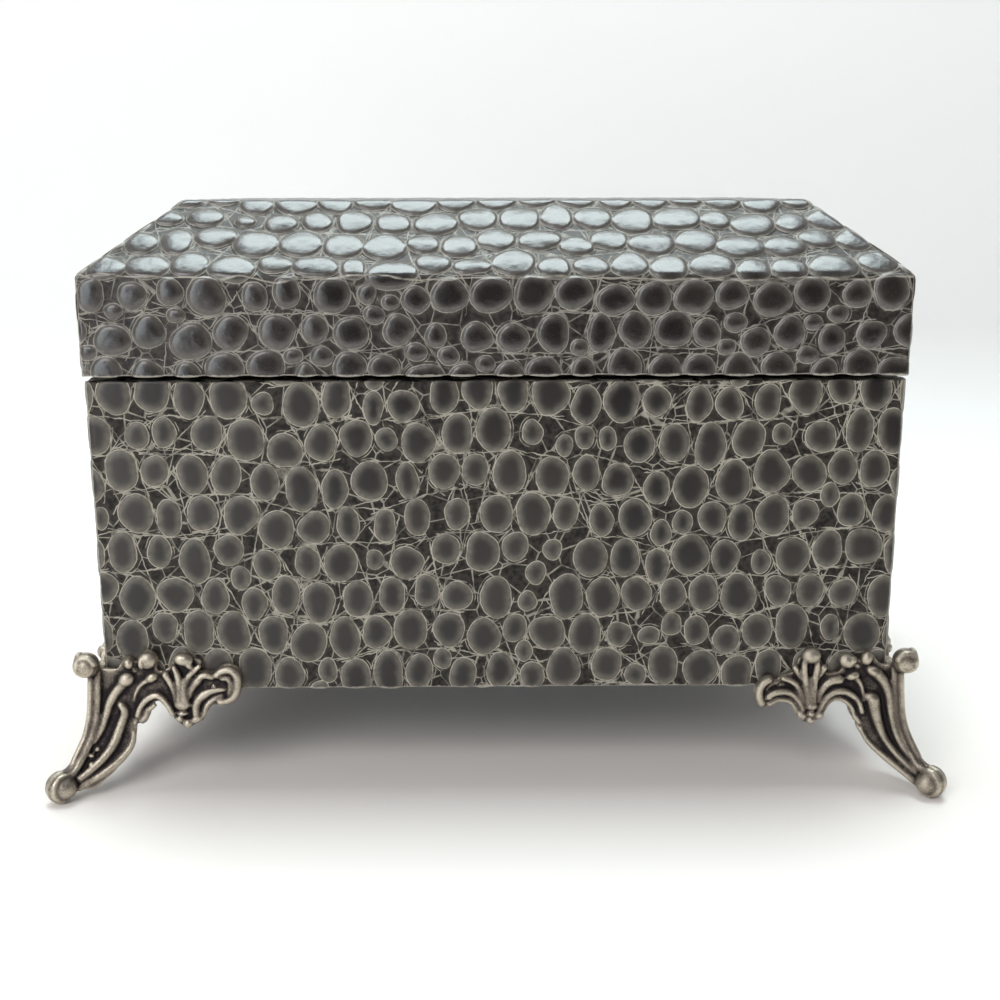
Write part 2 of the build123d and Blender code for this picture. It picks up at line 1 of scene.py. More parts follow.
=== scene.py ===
"""Looks of a leather-covered jewelry chest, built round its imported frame.

Sizes in the classes are in millimetres; meshes are made in metres, in the frame's own axes.
"""

import logging
import math
from collections.abc import Callable, Iterator, Sequence
from contextlib import contextmanager
from dataclasses import dataclass
from enum import Enum

import bpy
import numpy as np
from mathutils import Matrix, Vector

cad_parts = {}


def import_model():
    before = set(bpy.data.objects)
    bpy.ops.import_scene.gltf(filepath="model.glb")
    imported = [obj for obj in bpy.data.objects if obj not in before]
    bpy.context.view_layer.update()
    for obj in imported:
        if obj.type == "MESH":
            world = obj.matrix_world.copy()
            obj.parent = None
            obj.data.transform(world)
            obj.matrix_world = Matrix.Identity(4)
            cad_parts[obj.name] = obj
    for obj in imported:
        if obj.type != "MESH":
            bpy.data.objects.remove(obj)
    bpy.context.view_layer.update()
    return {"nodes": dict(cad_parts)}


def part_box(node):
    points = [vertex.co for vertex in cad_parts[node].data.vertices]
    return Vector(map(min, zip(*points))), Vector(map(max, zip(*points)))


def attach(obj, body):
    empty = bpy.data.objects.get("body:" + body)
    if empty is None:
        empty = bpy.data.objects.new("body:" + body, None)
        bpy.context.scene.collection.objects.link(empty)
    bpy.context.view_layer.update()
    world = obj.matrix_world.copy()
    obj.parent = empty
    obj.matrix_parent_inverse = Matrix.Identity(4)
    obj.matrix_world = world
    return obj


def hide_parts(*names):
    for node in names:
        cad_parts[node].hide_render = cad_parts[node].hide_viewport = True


MM = 0.001
TINY = 1e-6
log = logging.getLogger("chest")

Thing = bpy.types.Object
Socket = bpy.types.NodeSocket
Outputs = bpy.types.bpy_prop_collection
Value = float | tuple | Socket
Pair = tuple[float, float]
Triple = tuple[float, float, float]
Colour = tuple[float, float, float, float]
Tiles = dict[str, np.ndarray]
Route = tuple[np.ndarray, list[float]]


class Body(Enum):
    """A part of the chest that moves as one."""

    BASE = "base"
    LID = "lid"
    TRAY = "tray"


class Side(Enum):
    """A side of the chest, with its way out and the way along it, seen from outside."""

    FRONT = ((0, -1), (1, 0))
    RIGHT = ((1, 0), (0, 1))
    BACK = ((0, 1), (-1, 0))
    LEFT = ((-1, 0), (0, -1))

    @property
    def label(self) -> str:
        """The side's name as the nodes have it."""
        return self.name.lower()

    @property
    def long(self) -> bool:
        """Whether it is one of the two wide sides."""
        return self in (Side.FRONT, Side.BACK)

    @property
    def out(self) -> np.ndarray:
        """The level direction that the side faces."""
        return np.array(self.value[0], float)

    @property
    def along(self) -> np.ndarray:
        """The level direction from the side's left to its right."""
        return np.array(self.value[1], float)


# Node graphs


class Graph:
    """A node tree and short ways to add nodes to it."""

    def __init__(self, tree: bpy.types.NodeTree) -> None:
        """Keeps the tree that the nodes go into."""
        self.tree = tree

    def node(self, kind: str, inputs: dict | None = None, **settings: object) -> bpy.types.Node:
        """Adds a node.

        Args:
            kind: Blender's name of the node type.
            inputs: Values or sockets by the input's name or number.
            **settings: The node's own properties.

        Returns:
            The new node.
        """
        made = self.tree.nodes.new(kind)
        for name, value in settings.items():
            setattr(made, name, value)
        self.fill(made, inputs or {})
        return made

    def fill(self, node: bpy.types.Node, inputs: dict) -> None:
        """Links sockets to a node's inputs, and sets its other inputs to plain values.

        Args:
            node: The node.
            inputs: Values or sockets by the input's name or number.
        """
        for key, value in inputs.items():
            if isinstance(value, Socket):
                self.tree.links.new(value, node.inputs[key])
            else:
                node.inputs[key].default_value = value

    def group(self, name: str, inputs: dict[str, Value]) -> Outputs:
        """The outputs of a shader node group, placed here with its own values."""
        return self.node("ShaderNodeGroup", inputs, node_tree=bpy.data.node_groups[name]).outputs

    def math(self, operation: str, *values: Value, clamp: bool = False) -> Socket:
        """The result of a Math node."""
        inputs = dict(enumerate(values))
        return self.node("ShaderNodeMath", inputs, operation=operation, use_clamp=clamp).outputs[0]

    def product(self, first: Value, second: Value) -> Socket:
        """One number times another."""
        return self.math("MULTIPLY", first, second)

    def plus(self, base: Value, value: Value, times: float, clamp: bool = False) -> Socket:
        """A number with so many times another added."""
        return self.math("MULTIPLY_ADD", value, times, base, clamp=clamp)

    def largest(self, first: Value, *others: Value) -> Socket:
        """Finds the largest of some numbers.

        Args:
            first: The first number.
            others: The numbers it is compared with.

        Returns:
            The output of the last node.
        """
        for other in others:
            first = self.math("MAXIMUM", first, other)
        return first

    def centred(self, share: Value) -> Socket:
        """A share, counted from a half."""
        return self.math("SUBTRACT", share, 0.5)

    def step(self, value: Value, start: Value, end: Value, low: float = 0.0, high: float = 1.0) -> Socket:
        """A smooth rise from low at start to high at end."""
        inputs = {"Value": value, "From Min": start, "From Max": end, "To Min": low, "To Max": high}
        return self.node("ShaderNodeMapRange", inputs, interpolation_type="SMOOTHSTEP").outputs[0]

    def band(self, value: Value, outer: Value, inner: Value) -> Socket:
        """A mask round the places where a number is nought."""
        return self.step(self.math("ABSOLUTE", value), outer, inner)

    def mixed(self, share: Value, first: Value, second: Value) -> Socket:
        """A mix of two colours."""
        made = self.node("ShaderNodeMix", {0: share, 6: first, 7: second}, data_type="RGBA")
        return made.outputs[2]

    def place(self) -> Socket:
        """The place on the object, in millimetres."""
        inputs = {0: self.node("ShaderNodeTexCoord").outputs["Object"], "Scale": 1 / MM}
        return self.node("ShaderNodeVectorMath", inputs, operation="SCALE").outputs["Vector"]

    def stretched(self, vector: Socket, by: Triple) -> Socket:
        """A vector with each of its numbers scaled."""
        made = self.node("ShaderNodeVectorMath", {0: vector, 1: by}, operation="MULTIPLY")
        return made.outputs["Vector"]

    def parts(self, vector: Socket) -> Outputs:
        """The three numbers of a vector."""
        return self.node("ShaderNodeSeparateXYZ", {0: vector}).outputs

    def attribute(self, name: str, output: str = "Vector") -> Socket:
        """An attribute of the mesh."""
        return self.node("ShaderNodeAttribute", attribute_name=name).outputs[output]

    def noise(self, place: Value, scale: float, detail: float = 2.0) -> Socket:
        """Clouds; place is in millimetres and scale in waves per millimetre."""
        inputs = {"Vector": place, "Scale": scale, "Detail": detail}
        return self.node("ShaderNodeTexNoise", inputs).outputs[0]

    def cracks(self, place: Value, scale: float) -> Socket:
        """Distance to the nearest wall of irregular cells; scale is in cells per millimetre."""
        inputs = {"Vector": place, "Scale": scale}
        return self.node("ShaderNodeTexVoronoi", inputs, feature="DISTANCE_TO_EDGE").outputs["Distance"]

    def bump(self, height: Socket, strength: float, depth: float) -> Socket:
        """A normal that follows a height; depth is in millimetres."""
        inputs = {"Strength": strength, "Distance": depth * MM, "Height": height}
        return self.node("ShaderNodeBump", inputs).outputs[0]


@dataclass(frozen=True)
class Finish:
    """A finish with a node material of its own; each kind says what feeds its shader."""

    name: str

    def look(self, graph: Graph) -> dict[str, Value]:
        """The shader's inputs by name: plain values, or sockets where they change over the surface."""
        raise NotImplementedError

    def material(self) -> bpy.types.Material:
        """Builds the material.

        Returns:
            The material.
        """
        made = bpy.data.materials.new(self.name)
        made.use_nodes = True
        made.node_tree.nodes.clear()
        graph = Graph(made.node_tree)
        shader = graph.node("ShaderNodeBsdfPrincipled")
        graph.node("ShaderNodeOutputMaterial", {"Surface": shader.outputs[0]})
        graph.fill(shader, self.look(graph))
        return made


# Mesh helpers


def choose(*things: Thing) -> None:
    """Selects these objects alone and makes the first one active.

    Args:
        *things: The objects.
    """
    bpy.ops.object.select_all(action="DESELECT")
    for thing in things:
        thing.select_set(True)
    bpy.context.view_layer.objects.active = things[0]


@contextmanager
def whole_mesh(thing: Thing) -> Iterator[None]:
    """Keeps an object in edit mode, with all of its mesh selected, for what is done inside.

    Args:
        thing: The object.

    Yields:
        Nothing.
    """
    choose(thing)
    bpy.ops.object.mode_set(mode="EDIT")
    bpy.ops.mesh.select_all(action="SELECT")
    yield
    bpy.ops.object.mode_set(mode="OBJECT")


def face_outwards(thing: Thing) -> None:
    """Turns the faces of a closed mesh outwards."""
    with whole_mesh(thing):
        bpy.ops.mesh.normals_make_consistent(inside=False)


def shaped(thing: Thing, kind: str, **settings: object) -> None:
    """Shapes an object by a modifier, which is applied at once.

    Args:
        thing: The object.
        kind: Blender's name of the modifier type.
        **settings: The modifier's own properties.
    """
    choose(thing)
    made = thing.modifiers.new(kind.lower(), kind)
    for name, value in settings.items():
        setattr(made, name, value)
    bpy.ops.object.modifier_apply(modifier=made.name)


def linked(name: str, data: bpy.types.ID) -> Thing:
    """Puts data into the scene as an object.

    Args:
        name: The object's name.
        data: Its mesh, curve, light or camera.

    Returns:
        The object.
    """
    made = bpy.data.objects.new(name, data)
    bpy.context.scene.collection.objects.link(made)
    return made


def grid(name: str, columns: int, rows: int) -> Thing:
    """Starts a piece as a flat grid, from -1 to 1 both ways.

    Args:
        name: The piece's name.
        columns: Number of faces across.
        rows: Number of faces along.

    Returns:
        The grid.
    """
    bpy.ops.object.select_all(action="DESELECT")
    bpy.ops.mesh.primitive_grid_add(x_subdivisions=columns, y_subdivisions=rows, size=2)
    made = bpy.context.object
    made.name = name
    return made


def add_spline(data: bpy.types.Curve, points: Sequence, radii: Sequence[float], closed: bool = False) -> None:
    """Adds a smooth spline to a curve.

    Args:
        data: The curve.
        points: The points that the spline goes through.
        radii: Its radius at each point.
        closed: Whether it comes back to its start.
    """
    spline = data.splines.new("BEZIER")
    spline.bezier_points.add(len(points) - 1)
    spline.use_cyclic_u = closed
    for knot, point, radius in zip(spline.bezier_points, points, radii):
        knot.co, knot.radius = point, radius
        knot.handle_left_type = knot.handle_right_type = "AUTO"


def meshed(data: bpy.types.Curve) -> Thing:
    """Makes a curve a mesh object.

    Args:
        data: The curve.

    Returns:
        The mesh object.
    """
    choose(linked(data.name, data))
    bpy.ops.object.convert(target="MESH")
    return bpy.context.object


def places_of(mesh: bpy.types.Mesh) -> np.ndarray:
    """Reads the place of each point of a mesh.

    Args:
        mesh: The mesh.

    Returns:
        One row for each point.
    """
    places = np.zeros(len(mesh.vertices) * 3, np.float32)
    mesh.vertices.foreach_get("co", places)
    return places.reshape(-1, 3).astype(float)


def set_places(mesh: bpy.types.Mesh, places: np.ndarray) -> None:
    """Moves each point of a mesh to a place."""
    mesh.vertices.foreach_set("co", places.astype(np.float32).ravel())
    mesh.update()


def store(mesh: bpy.types.Mesh, name: str, values: np.ndarray) -> None:
    """Writes a vector attribute on a mesh's points."""
    made = mesh.attributes.new(name, "FLOAT_VECTOR", "POINT")
    made.data.foreach_set("vector", np.ascontiguousarray(values, np.float32).ravel())


def box_of(node: str) -> np.ndarray:
    """The lowest and highest corner of a CAD node, in millimetres."""
    return np.array(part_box(node)) / MM


def settle(
    thing: Thing, name: str, body: Body, material: bpy.types.Material, nodes: Sequence[str]
) -> Thing:
    """Finishes a piece: place into the mesh, name, material, body and replaced nodes.

    Args:
        thing: The object.
        name: The piece's name.
        body: The body that it moves with.
        material: Its material.
        nodes: CAD nodes that it stands for.

    Returns:
        The same object.
    """
    choose(thing)
    bpy.ops.object.transform_apply(location=True, rotation=True, scale=True)
    thing.name = thing.data.name = name
    thing.data.materials.clear()
    thing.data.materials.append(material)
    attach(thing, body.value)
    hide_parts(*nodes)
    return thing


# Pressed hide

TILES = ("tiles_one", "tiles_two")
LINES = ("lines_one", "lines_two", "lines_three")
HIDE_EDGES = "edges"
TILE_CHANNELS = 6
LINE_CHANNELS = 4
FAR = -3.0
LINE_REACH = 1.5
WELL_CLEAR = 9.0
NEVER_NEAR = 99.0


@dataclass(frozen=True)
class PressedScales:
    """The scales pressed into the hide: rows of rounded tiles that crowd each other, and creases.

    A tile's signed distance is kept in one of six channels, so that close tiles never share one
    and their edges stay sharp between the vertices. Past the rim zone, counted from the middle
    of the hide, the tiles are rounder and their rows lie further apart. A crease is a straight
    line that touches two neighbouring tiles; its signed distance and its reach are kept in one
    of four channels.
    """

    spacing: Pair
    half_sizes: Pair
    seed: int
    stagger: float = 0.5
    disorder: float = 1.5
    wave: float = 1.8
    relief: float = 0.5
    rim_width: float = 1.7
    crown_share: float = 0.4
    rounds: int = 70
    gap: float = 1.1
    hole: float = 3.6
    small_share: float = 0.12
    small_size: float = 0.68
    row_disorder: float = 1.2
    wave_length: float = 17.0
    wave_shift: float = 0.8
    growth: Pair = (0.80, 1.16)
    slimness: float = 0.06
    wobbles: Triple = (0.06, 0.05, 0.03)
    tilt: float = 0.011
    rim_zone: Pair = (math.inf, math.inf)
    rim_stretch: float = 0.125
    rim_clear: float = 2.0
    rim_shares: Pair = (0.80, 0.97)
    widest: float = 26.0
    push: float = 0.24
    pull: float = 0.02
    filler_pitch: float = 1.25
    filler_reach: float = 14.0
    filler_margin: float = 0.5
    filler_most: float = 3.6
    filler_size: float = 1.1
    crease_reach: float = 1.45
    crease_slope: float = 0.42
    crease_shares: Triple = (0.60, 0.22, 0.08)
    crease_off: Pair = (0.0, 0.4)
    crease_overrun: Pair = (0.5, 4.5)
    least_creased: float = 3.4
    crease_near: float = 22.0
    channel_gap: float = 2.4
    edge_start: float = 0.45
    dome_reach: float = 5.0
    least_depth: float = 0.04
    deepest: float = 1.0

    def tiles(self, low: Pair, high: Pair) -> Tiles:
        """Lays the tiles and creases out over a rectangle of flat hide.

        Args:
            low: Lowest corner of the rectangle.
            high: Highest corner.

        Returns:
            The tiles' centres, half sizes, wobble of their outlines, tilt, tone and channel, and
            the creases' ends and channel.
        """
        rng = np.random.default_rng(self.seed)
        columns = int((high[0] - low[0]) / self.spacing[0]) + 2
        rows = int((high[1] - low[1]) / self.spacing[1]) + 2
        row, column = (count.ravel() for count in np.mgrid[0:rows, 0:columns])
        home = np.column_stack((column + self.stagger * (row % 2), row)) * self.spacing + low
        off = rng.normal(0, self.disorder, home.shape)
        home += off + rng.normal(0, self.row_disorder, rows)[row][:, None] * (1, 0)
        shift = rng.normal(0, self.wave_shift, rows)[row]
        home[:, 1] += self.wave * np.sin(home[:, 0] / self.wave_length + shift)
        past = np.maximum(np.abs(home) - self.rim_zone, 0)
        home += np.sign(home) * past * self.rim_stretch
        count = len(home)
        grown = rng.uniform(*self.growth, count)
        grown *= np.where(rng.random(count) < self.small_share, self.small_size, 1.0)
        slim = rng.normal(1.0, self.slimness, count)
        half = np.column_stack((self.half_sizes[0] * grown * slim, self.half_sizes[1] * grown / slim))
        half[(past > self.rim_clear).any(1)] *= self.rim_shares
        centre, half = self.filled(self.crowded(home, half), half, low, high)
        count = len(centre)
        start, end = self.creases(centre, half, rng)
        return {
            "centre": centre,
            "half": half,
            "wobble": rng.uniform(-1, 1, (count, 3)) * self.wobbles,
            "phase": rng.uniform(0, 2 * math.pi, (count, 3)),
            "tilt": rng.normal(0, self.tilt, (count, 2)),
            "tone": rng.random(count),
            "channel": self.channels(centre, half),
            "start": start,
            "end": end,
            "line": self.line_channels(start, end),
        }

    @staticmethod
    def reach(half: np.ndarray, way: np.ndarray) -> np.ndarray:
        """Distance from an oval's centre to its edge in a direction."""
        return 1 / np.sqrt(np.maximum(((way / half) ** 2).sum(-1), TINY))

    @staticmethod
    def neighbours(centre: np.ndarray, far: float) -> tuple[np.ndarray, np.ndarray]:
        """Finds the pairs of tiles that lie close together.

        Args:
            centre: The tiles' centres.
            far: Distance within which two tiles are a pair.

        Returns:
            Numbers of the first and of the second tile of each pair.
        """
        first, second = np.triu_indices(len(centre), 1)
        near = np.linalg.norm(centre[first] - centre[second], axis=1) < far
        return first[near], second[near]

    def crowded(self, home: np.ndarray, half: np.ndarray) -> np.ndarray:
        """Moves the tiles apart until they hardly overlap.

        Args:
            home: Where each tile would lie.
            half: Its half sizes.

        Returns:
            Where it lies.
        """
        first, second = self.neighbours(home, self.widest)
        centre = home.copy()
        for _ in range(self.rounds):
            away = centre[first] - centre[second]
            length = np.linalg.norm(away, axis=1) + TINY
            way = away / length[:, None]
            needed = self.reach(half[first], way) + self.reach(half[second], way) + self.gap
            push = way * (np.maximum(needed - length, 0) * self.push)[:, None]
            for axis in (0, 1):
                centre[:, axis] += np.bincount(first, push[:, axis], len(home))
                centre[:, axis] -= np.bincount(second, push[:, axis], len(home))
            centre += (home - centre) * self.pull
        return centre

    def filled(
        self, centre: np.ndarray, half: np.ndarray, low: Pair, high: Pair
    ) -> tuple[np.ndarray, np.ndarray]:
        """Puts small tiles into the larger holes that are left.

        Args:
            centre: The tiles' centres.
            half: Their half sizes.
            low: Lowest corner of the hide.
            high: Highest corner.

        Returns:
            Centres and half sizes with the small tiles added.
        """
        pitch = self.filler_pitch
        clear = np.full([int((high[k] - low[k]) / pitch) + 1 for k in (0, 1)], WELL_CLEAR)

        def crowd(place: np.ndarray, size: np.ndarray) -> None:
            """Takes a tile's room out of the clear space.

            Args:
                place: The tile's centre.
                size: Its half sizes.
            """
            start = np.maximum(((place - self.filler_reach - low) / pitch).astype(int), 0)
            end = np.maximum(((place + self.filler_reach - low) / pitch).astype(int), 0)
            part = clear[start[0]:end[0], start[1]:end[1]]
            away = np.moveaxis(np.indices(part.shape), 0, -1) * pitch + start * pitch + low - place
            length = np.linalg.norm(away, axis=-1) + TINY
            np.minimum(part, length - self.reach(size, away / length[..., None]), out=part)

        places, sizes = list(centre), list(half)
        for place, size in zip(centre, half):
            crowd(place, size)
        while clear.max() > self.hole:
            place = np.array(np.unravel_index(clear.argmax(), clear.shape)) * pitch + low
            room = min(float(clear.max()) - self.filler_margin, self.filler_most)
            size = np.array(self.half_sizes) / max(self.half_sizes) * room * self.filler_size
            places.append(place)
            sizes.append(size)
            crowd(place, size)
        return np.array(places), np.array(sizes)

    @staticmethod
    def tangent(way: np.ndarray, one: np.ndarray, two: np.ndarray, side: int, other: int) -> np.ndarray:
        """Finds, by halving, the line that touches both ovals of each pair.

        Args:
            way: From the first oval's centre to the second's.
            one: Half sizes of the first oval.
            two: Half sizes of the second.
            side: 1 or -1 for the side of the first oval that the line touches.
            other: 1 where it touches the same side of the second oval, -1 for its far side.

        Returns:
            The lines' normals.
        """
        middle = np.arctan2(way[:, 1], way[:, 0]) + side * math.pi / 2
        widest, halvings = 1.2, 24
        low_turn, high_turn = middle - widest, middle + widest
        for _ in range(halvings):
            turn = (low_turn + high_turn) / 2
            normal = np.column_stack((np.cos(turn), np.sin(turn)))
            reaches = [np.linalg.norm(normal * half, axis=1) for half in (one, two)]
            over = (normal * way).sum(1) + other * reaches[1] - reaches[0]
            high_turn = np.where(over * side < 0, turn, high_turn)
            low_turn = np.where(over * side < 0, low_turn, turn)
        return normal

    def creases(
        self, centre: np.ndarray, half: np.ndarray, rng: np.random.Generator
    ) -> tuple[np.ndarray, np.ndarray]:
        """Draws straight creases that touch pairs of neighbouring tiles.

        Args:
            centre: The tiles' centres.
            half: Their half sizes.
            rng: The source of chance.

        Returns:
            The creases' starts and ends.
        """
        first, second = self.neighbours(centre, self.crease_reach * max(self.spacing))
        large = np.minimum(half[first], half[second]).min(1) > self.least_creased
        first, second = first[large], second[large]
        away = centre[second] - centre[first]
        level = np.abs(away[:, 1]) < self.crease_slope * np.abs(away[:, 0])
        in_row, between_rows, crossing = self.crease_shares
        starts, ends = [], []
        for side in (1, -1):
            for other in (1, -1):
                share = np.where(level, in_row, between_rows) if other > 0 else crossing
                kept = rng.random(len(first)) < share
                one, two = first[kept], second[kept]
                normal = self.tangent(away[kept], half[one], half[two], side, other)
                one_reach = np.linalg.norm(normal * half[one], axis=1)[:, None]
                two_reach = np.linalg.norm(normal * half[two], axis=1)[:, None]
                start = centre[one] + normal * half[one] ** 2 / one_reach
                end = centre[two] + other * normal * half[two] ** 2 / two_reach
                off = rng.uniform(*self.crease_off, len(one))[:, None] * normal
                run = end - start
                run /= np.linalg.norm(run, axis=1)[:, None] + TINY
                starts.append(start + off - run * rng.uniform(*self.crease_overrun, len(one))[:, None])
                ends.append(end + off * other + run * rng.uniform(*self.crease_overrun, len(one))[:, None])
        return np.concatenate(starts), np.concatenate(ends)

    def line_channels(self, start: np.ndarray, end: np.ndarray, samples: int = 7) -> np.ndarray:
        """Shares the creases out among their channels, close ones to different channels.

        Args:
            start: The creases' starts.
            end: Their ends.
            samples: Number of points on each by which two are compared.

        Returns:
            Each crease's channel.
        """
        shares = np.linspace(0, 1, samples)[None, :, None]
        points = start[:, None] * (1 - shares) + end[:, None] * shares
        middle = (start + end) / 2
        taken = np.full(len(start), -1)
        for index in range(len(start)):
            close = np.abs(middle - middle[index]).max(1) < self.crease_near
            near = np.flatnonzero((taken >= 0) & close)
            room = np.full(LINE_CHANNELS, NEVER_NEAR)
            if len(near):
                away = points[near][:, :, None] - points[index][None, None]
                np.minimum.at(room, taken[near], np.linalg.norm(away, axis=3).min((1, 2)))
            free = np.flatnonzero(room > 2 * LINE_REACH)
            taken[index] = free[0] if len(free) else int(room.argmax())
        return taken

    def channels(self, centre: np.ndarray, half: np.ndarray) -> np.ndarray:
        """Shares the tiles out among their channels, close ones to different channels.

        Args:
            centre: The tiles' centres.
            half: Their half sizes.

        Returns:
            Each tile's channel.
        """
        away = centre[:, None] - centre[None]
        length = np.linalg.norm(away, axis=2) + np.eye(len(centre)) / TINY
        way = away / length[..., None]
        clear = length - self.reach(half[:, None], way) - self.reach(half[None], way)
        taken = np.full(len(centre), -1)
        for index in range(len(centre)):
            room = np.array([
                clear[index][taken == channel].min(initial=NEVER_NEAR) for channel in range(TILE_CHANNELS)
            ])
            free = np.flatnonzero(room > self.channel_gap)
            taken[index] = free[0] if len(free) else int(room.argmax())
        return taken

    def pressed(self, mesh: bpy.types.Mesh, flat: np.ndarray, tiles: Tiles) -> np.ndarray:
        """Writes the tiles and creases onto a flat sheet as attributes.

        Args:
            mesh: The sheet's mesh.
            flat: Place of each vertex on the flat hide.
            tiles: The tiles and creases of the hide.

        Returns:
            How deep each vertex is pressed, in millimetres.
        """
        margin, oversize, surround = 12, 1.4, 3
        inside = np.full((len(flat), TILE_CHANNELS), FAR)
        tone = np.full(len(flat), 0.5)
        best = np.full(len(flat), FAR)
        lean = np.zeros(len(flat))
        past_low = (tiles["centre"] > flat.min(0) - margin).all(1)
        near = past_low & (tiles["centre"] < flat.max(0) + margin).all(1)
        for index in np.flatnonzero(near):
            centre, half = tiles["centre"][index], tiles["half"][index]
            close = np.flatnonzero((np.abs(flat - centre) < half * oversize + surround).all(1))
            away = flat[close] - centre
            length = np.linalg.norm(away, axis=1) + TINY
            angle = np.arctan2(away[:, 1], away[:, 0])
            wobble, phase = tiles["wobble"][index], tiles["phase"][index]
            shape = 1 + sum(wobble[k] * np.cos((k + 2) * angle + phase[k]) for k in range(3))
            edge = self.reach(half, away / length[:, None]) * shape
            depth = np.clip(edge - length, FAR, None)
            channel = tiles["channel"][index]
            inside[close, channel] = np.maximum(inside[close, channel], depth)
            ahead = depth > best[close]
            chosen = close[ahead]
            best[chosen] = depth[ahead]
            tone[chosen] = tiles["tone"][index]
            lean[chosen] = away[ahead] @ tiles["tilt"][index]
        lines = np.column_stack((self.drawn(flat, tiles), tone))
        for names, values in ((TILES, inside), (LINES, lines)):
            for name, part in zip(names, np.split(values, len(names), axis=1)):
                store(mesh, name, part)
        edge_rise = np.clip((best + self.edge_start) / self.rim_width, 0, 1)
        edge_rise = edge_rise * edge_rise * (3 - 2 * edge_rise)
        dome = np.clip(best / self.dome_reach, 0, 1)
        height = (1 - self.crown_share) * edge_rise + self.crown_share * dome * (2 - dome)
        sunk = self.relief * (1 - height) + np.where(best > 0, lean, 0) + self.least_depth
        return np.clip(sunk, 0, self.deepest)

    @staticmethod
    def drawn(flat: np.ndarray, tiles: Tiles, margin: float = 2) -> np.ndarray:
        """Signed distance to the nearest crease of each channel, and how far within its reach.

        Args:
            flat: Place of each vertex on the flat hide.
            tiles: The tiles and creases of the hide.
            margin: How far from a crease a vertex is looked at.

        Returns:
            For each vertex, the distance and the reach of the channels in turn.
        """
        lines = np.tile((LINE_REACH, -LINE_REACH), (len(flat), LINE_CHANNELS))
        order = np.argsort(flat[:, 1], kind="stable")
        height = flat[order, 1]
        left, right = flat[:, 0].min() - margin, flat[:, 0].max() + margin
        for start, end, channel in zip(tiles["start"], tiles["end"], tiles["line"]):
            if max(start[0], end[0]) < left or min(start[0], end[0]) > right:
                continue
            span = np.searchsorted(height, (min(start[1], end[1]) - margin, max(start[1], end[1]) + margin))
            close = order[span[0]:span[1]]
            if not len(close):
                continue
            off_middle = np.abs(flat[close, 0] - (start[0] + end[0]) / 2)
            close = close[off_middle < abs(end[0] - start[0]) / 2 + margin]
            length = np.linalg.norm(end - start)
            run = (end - start) / length
            away = flat[close] - start
            along = away @ run
            across = away @ (-run[1], run[0])
            beyond = np.maximum(np.maximum(-along, along - length), 0)
            reach = LINE_REACH - np.hypot(across, beyond)
            ahead = reach > lines[close, 2 * channel + 1]
            chosen = close[ahead]
            lines[chosen, 2 * channel] = across[ahead]
            lines[chosen, 2 * channel + 1] = reach[ahead]
        return lines


